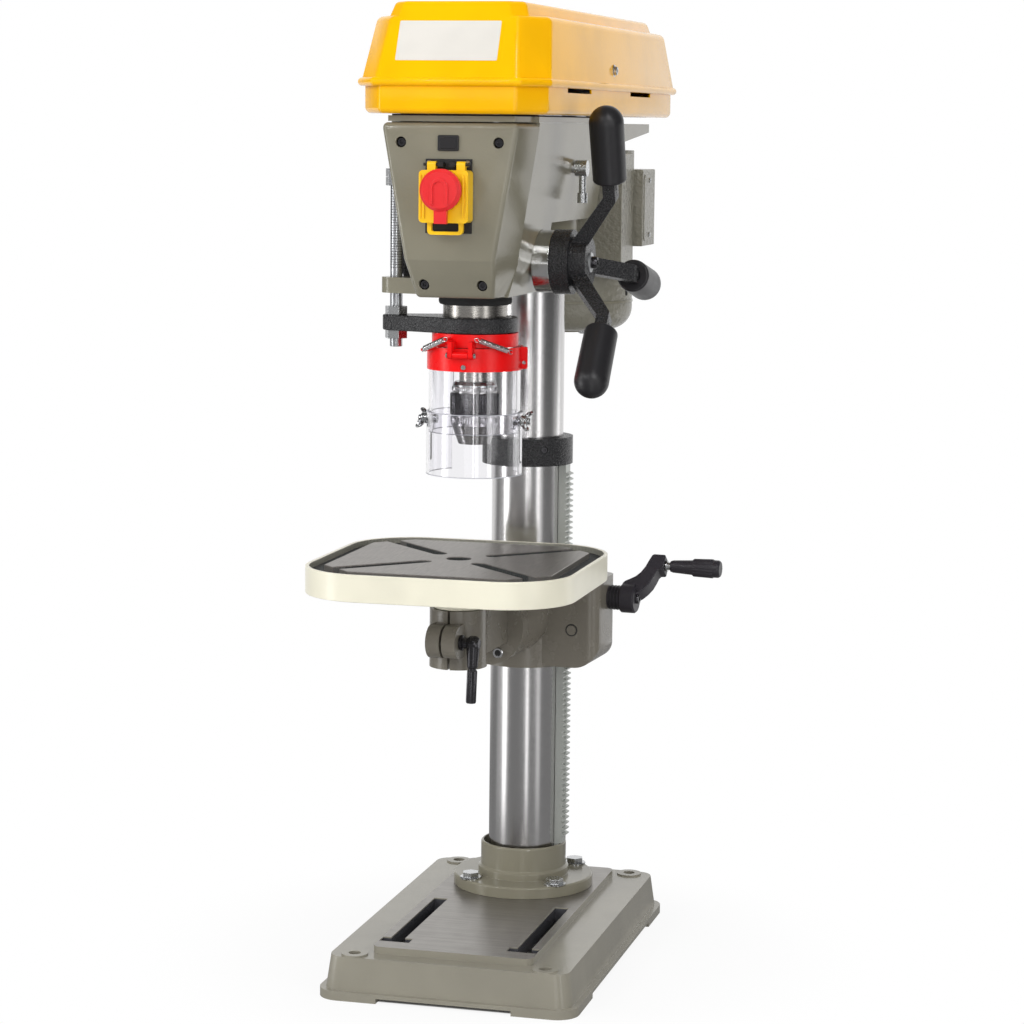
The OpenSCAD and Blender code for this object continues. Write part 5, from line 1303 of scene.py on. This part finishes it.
@dataclass
class Drive(Assembly):
    """Motor, pulleys, belts and belt guard."""

    finishes = {"spindle_pulley": ALLOY, "idler_post": STEEL, "idler_pulley": ALLOY, "motor_pulley": ALLOY,
                "front_belt": RUBBER, "rear_belt": RUBBER, "motor_body": HAMMER, "motor_plate": HAMMER,
                "terminal_box": HAMMER, "slide_bars": BRIGHT, "tension_lock": ZINC, "guard_pan": YELLOW,
                "guard_lid": YELLOW}
    edges = {"motor_plate": 2.5, "terminal_box": 5.0, "guard_pan": 1.6, "guard_lid": 2.2}
    label: Point = (-2.8, -202.1, 913.4)
    label_size: Pair = (96.5, 40.0)
    label_sunk: float = 0.6
    front_lean: Pair = (0.466, 1.0)
    lid_screw: Point = (89.0, 80.2, 892.2)
    washer_h: float = 1.1
    motor: Pair = (0.0, 263.0)
    motor_r: float = 70.0
    motor_z: float = 621.0
    seams_z: Pair = (650.0, 788.0)
    vents_z: float = 668.0
    vents: int = 13
    vent_turns: Pair = (-12.0, 17.0)
    bolt_r: float = 34.0
    box: Point = (85.6, 274.0, 751.5)
    box_screw_x: float = 86.7
    box_screws: Pair = (-29.0, 29.0)

    def build(self) -> None:
        """Bare label plate and screw on the lid, and the motor's small parts."""
        up = Vector((0, *self.front_lean)).normalized()
        across = Vector((1, 0, 0))
        place = Matrix.Translation(self.label) @ Matrix((across, up, across.cross(up))).transposed().to_4x4()
        Shop.add(Shop.prism(Shop.rounded(*self.label_size, 1.2), 1.0), "label_plate", "lid", WHITE_PLATE,
                 "yellow_paint", place @ Matrix.Translation((0, 0, -self.label_sunk)), edge=0.2)
        x, y, z = self.lid_screw
        Shop.add(Shop.turned([(0, 0), (6.2, 0), (6.2, 0.8), (5.7, 1.2), (0, 1.2)]), "lid_washer", "lid", ZINC, "zinc",
                 Shop.at(x, y, z, Axis.X))
        Shop.add(Shop.screw_head(4.4, 2.8, 1.9), "lid_screw", "lid", ZINC, "zinc",
                 Shop.at(x + self.washer_h, y, z, Axis.X))
        self.motor_parts()
        self.box_parts()

    def motor_parts(self) -> None:
        """Seams, vents as dark pads of painted shade, bolts and end cap of the motor."""
        x, y = self.motor
        low, high = self.motor_r - 0.6, self.motor_r + 0.9
        for i, z in enumerate(self.seams_z):
            Shop.add(Shop.turned([(low, 0), (high, 0.5), (high, 3.0), (low, 3.5)], 72), f"motor_seam_{i + 1}", "motor",
                     OLIVE, "olive_paint", Shop.at(x, y, z))
        start, step = self.vent_turns
        # Vents as flat dark pads on the motor: painted shade for the dark inside of the openings.
        for i in range(self.vents):
            turn = Matrix.Rotation(math.radians(start + step * i), 4, "Z")
            Shop.add(Shop.prism(Shop.rounded(20, 5, 2.3), 0.8), f"motor_vent_{i + 1}", "motor", RUBBER, "belt_rubber",
                     Shop.at(x, y, self.vents_z) @ turn @ Shop.at(self.motor_r - 0.5, 0, 0, Axis.X))
        bolt = [(0, 0), (5.4, 0), (5.4, 3.4), (4.8, 4.0), (0, 4.0)]
        for i in range(4):
            dx, dy = Shop.polar(self.bolt_r, math.radians(45 + 90 * i))
            Shop.add(Shop.turned(bolt, 6), f"motor_bolt_{i + 1}", "motor", ZINC, "zinc",
                     Shop.at(x + dx, y + dy, self.motor_z, Axis.DOWN), smooth=20.0)
        cap = [(0, 0), (20, 0), (20, 2.2), (18.4, 4.0), (8, 4.4), (7, 2.6), (0, 2.6)]
        Shop.add(Shop.turned(cap), "motor_end_cap", "motor", OLIVE, "olive_paint",
                 Shop.at(x, y, self.motor_z + 0.3, Axis.DOWN))

    def box_parts(self) -> None:
        """Cover of the motor's terminal box and its screws."""
        Shop.add(Shop.prism(Shop.rounded(70, 50, 6), 1.2), "terminal_cover", "motor", HAMMER, "olive_paint",
                 Shop.at(*self.box, Axis.X), edge=0.5)
        _, y, z = self.box
        for i, rise in enumerate(self.box_screws):
            Shop.add(Shop.screw_head(2.6, 1.2, 1.1), f"terminal_screw_{i + 1}", "motor", ZINC, "zinc",
                     Shop.at(self.box_screw_x, y, z + rise, Axis.X))


@dataclass(frozen=True)
class Softbox:
    """Soft lamp aimed at the middle of the machine, sizes in metres and power in watts."""

    name: str
    place: Point
    width: float
    height: float
    power: float
    mirrored: bool = True
    lights: bool = True
    aim: ClassVar[Point] = (0.0, 0.0, 0.55)

    def build(self) -> None:
        """Makes the lamp."""
        data = bpy.data.lights.new(self.name, "AREA")
        data.shape = "RECTANGLE"
        data.size, data.size_y, data.energy = self.width, self.height, self.power
        obj = bpy.data.objects.new(self.name, data)
        obj.visible_glossy = self.mirrored
        obj.visible_diffuse = self.lights
        turn = (Vector(self.aim) - Vector(self.place)).to_track_quat("-Z", "Y")
        obj.matrix_world = Matrix.Translation(self.place) @ turn.to_matrix().to_4x4()
        bpy.context.scene.collection.objects.link(obj)


@dataclass
class Studio:
    """Camera, floor and light."""

    eye: Point = (0.72822, -2.7621, 0.83637)
    ahead: Point = (-0.24966, 0.95916, -0.13298)
    up: Point = (-0.04343, 0.1261, 0.99107)
    lens: float = 101.08
    sensor: float = 36.0
    lamps: tuple[Softbox, ...] = (
        Softbox("key", (-1.7, -2.2, 2.3), 1.6, 1.6, 28.5, mirrored=False),
        Softbox("top", (0.2, 0.3, 2.8), 1.8, 1.8, 22.0, mirrored=False),
        Softbox("front_wash", (0.3, -3.0, 0.8), 1.6, 1.6, 11.5, mirrored=False),
        Softbox("right_wash", (2.2, -1.4, 1.0), 1.4, 1.6, 11.0, mirrored=False),
        Softbox("side", (-1.78, -1.0, 0.85), 0.42, 2.4, 14.0),
        Softbox("front", (0.66, -3.0, 0.9), 0.16, 2.4, 8.0),
        Softbox("fill", (1.95, -1.62, 1.0), 0.5, 2.2, 8.0),
        Softbox("flash_left", (-1.5, -2.5, 1.9), 0.22, 0.22, 6.0),
        Softbox("flash_right", (1.6, -2.6, 2.0), 0.18, 0.18, 3.0),
        Softbox("streak", (1.15, -1.9, 2.5), 0.1, 1.5, 16.0, lights=False),
        Softbox("rim", (-0.55, -2.33, 2.07), 0.7, 0.1, 6.0, lights=False))
    floor_size: float = 6.0
    floor_lit: Color = (0.86, 0.86, 0.86)
    floor_dim: Color = (0.5, 0.5, 0.5)
    floor_white: float = 0.9
    floor_gloss: float = 0.26
    # Painted reflections on the floor: turn in degrees, half width in degrees and glow of each band.
    floor_bands: tuple[Point, ...] = ((-55.0, 7.0, 2.4), (-66.0, 22.0, 0.25), (21.0, 3.5, 2.4), (58.0, 6.0, 0.7),
                                      (131.0, 8.0, 1.0))
    shadow_reach: Pair = (0.2, 0.4)
    base_half: Pair = (0.12, 0.2)
    front_gloss: float = 0.1
    ambient: float = 0.42

    def build(self) -> None:
        """Makes the camera, the floor, the lamps and the world."""
        self.camera()
        self.floor()
        for lamp in self.lamps:
            lamp.build()
        self.world()

    def camera(self) -> None:
        """Camera at the photograph's place."""
        data = bpy.data.cameras.new("camera")
        data.lens, data.sensor_width = self.lens, self.sensor
        obj = bpy.data.objects.new("camera", data)
        up, back = Vector(self.up), -Vector(self.ahead)
        turn = Matrix((up.cross(back), up, back)).transposed().to_4x4()
        obj.matrix_world = Matrix.Translation(self.eye) @ turn
        bpy.context.scene.collection.objects.link(obj)
        bpy.context.scene.camera = obj

    def floor(self) -> None:
        """Pale floor that shows white to the camera and keeps the shadow."""
        mesh = bmesh.new()
        bmesh.ops.create_grid(mesh, x_segments=2, y_segments=2, size=self.floor_size)
        data = bpy.data.meshes.new("floor")
        mesh.to_mesh(data)
        mesh.free()
        obj = bpy.data.objects.new("floor", data)
        bpy.context.scene.collection.objects.link(obj)
        made = bpy.data.materials.new("floor_white")
        g = Graph.cleared(made)
        where = g.place()
        x, y, _ = g.split(where)
        away = g.add("ShaderNodeVectorMath", {0: where}, operation="LENGTH").outputs["Value"]
        clear, mirror, _ = self.rays(g)
        direct = g.most(clear, mirror)
        matte = g.add("ShaderNodeBsdfDiffuse", {"Color": g.mix(direct, self.floor_dim, self.floor_lit)})
        # Painted reflection: to mirrored rays the floor glows, brighter towards the back and in bands where the lamps
        # stand.
        shine = g.plus(self.carried(g, x, y, away), g.span(y, 0.6, 1.8, self.floor_gloss, 1.0))
        glow = g.most(g.times(mirror, shine), clear)
        white = g.add("ShaderNodeEmission", {"Color": (1.0, 1.0, 1.0), "Strength": glow})
        under = g.times(*(g.span(g.math("ABSOLUTE", value), half + 0.002, half - 0.002)
                          for value, half in zip((x, y), self.base_half)))
        share = g.times(direct, g.span(away, *self.shadow_reach, self.floor_white, 1.0), g.less(1.0, under))
        mixed = g.add("ShaderNodeMixShader", {0: share, 1: matte.outputs[0], 2: white.outputs[0]})
        g.add("ShaderNodeOutputMaterial", {"Surface": mixed.outputs[0]})
        data.materials.append(made)

    def carried(self, g: Graph, x: Socket, y: Socket, away: Socket) -> Socket:
        """Painted reflections: bands of glow on the floor, seen only by mirrored rays, that stand in for the lamps in
        reflections low on the column.

        Args:
            g: The floor's graph.
            x: Place across.
            y: Place along.
            away: Distance from the middle.

        Returns:
            Brightness to add.
        """
        turn = g.math("ARCTAN2", x, g.less(COLUMN_Y * MM, y))
        bands = []
        for middle, half, level in self.floor_bands:
            off = g.apart(turn, math.radians(middle))
            bands.append(g.span(off, math.radians(half * 1.3), math.radians(half * 0.7), 0.0, level))
        return g.times(g.plus(*bands), g.span(away, 0.35, 0.7))

    @staticmethod
    def rays(g: Graph) -> tuple[Socket, Socket, Socket]:
        """Sorts rays by what they met before, looking past clear plastic.

        Args:
            g: Graph of the floor or the surroundings.

        Returns:
            Masks of rays straight from the camera, mirrored rays and scattered rays.
        """
        path = g.add("ShaderNodeLightPath").outputs
        through = path["Is Transmission Ray"]
        mirrored = g.math("MINIMUM", path["Glossy Depth"], 1.0)
        scattered = g.math("MINIMUM", path["Diffuse Depth"], 1.0)
        plain = g.less(1.0, g.most(mirrored, scattered))
        straight, mirror, diffuse = (g.most(path[f"Is {kind} Ray"], g.times(through, met)) for kind, met in (
            ("Camera", plain), ("Glossy", mirrored), ("Diffuse", scattered)))
        return straight, mirror, g.times(diffuse, g.less(1.0, mirror))

    def world(self) -> None:
        """White surroundings behind the machine, greyer ones in front for reflections."""
        world = bpy.data.worlds.new("studio")
        bpy.context.scene.world = world
        g = Graph.cleared(world)
        _, y, z = g.split(g.add("ShaderNodeTexCoord").outputs["Generated"])
        low = g.times(g.span(z, -0.01, -0.07), g.span(y, -0.6, -0.85))
        around = g.plus(g.span(y, 0.55, 0.9, self.front_gloss, 1.0), low)
        clear, mirror, diffuse = self.rays(g)
        level = g.plus(g.times(mirror, around), g.times(diffuse, self.ambient))
        light = g.add("ShaderNodeBackground", {"Color": (1.0, 1.0, 1.0), "Strength": g.most(clear, level)})
        g.add("ShaderNodeOutputWorld", {"Surface": light.outputs[0]})


def main() -> None:
    """Builds the studio and the sub-assemblies in order."""
    logging.basicConfig(level=logging.INFO)
    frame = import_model()
    bpy.context.scene.view_settings.view_transform = "Standard"
    Studio().build()
    for part in (Stand(), TableLift(), Head(), Feed(), QuillGroup(), Drive()):
        part.dress(frame["nodes"])
        part.build()
        LOG.info("built %s", type(part).__name__)


if __name__ == "__main__":
    main()
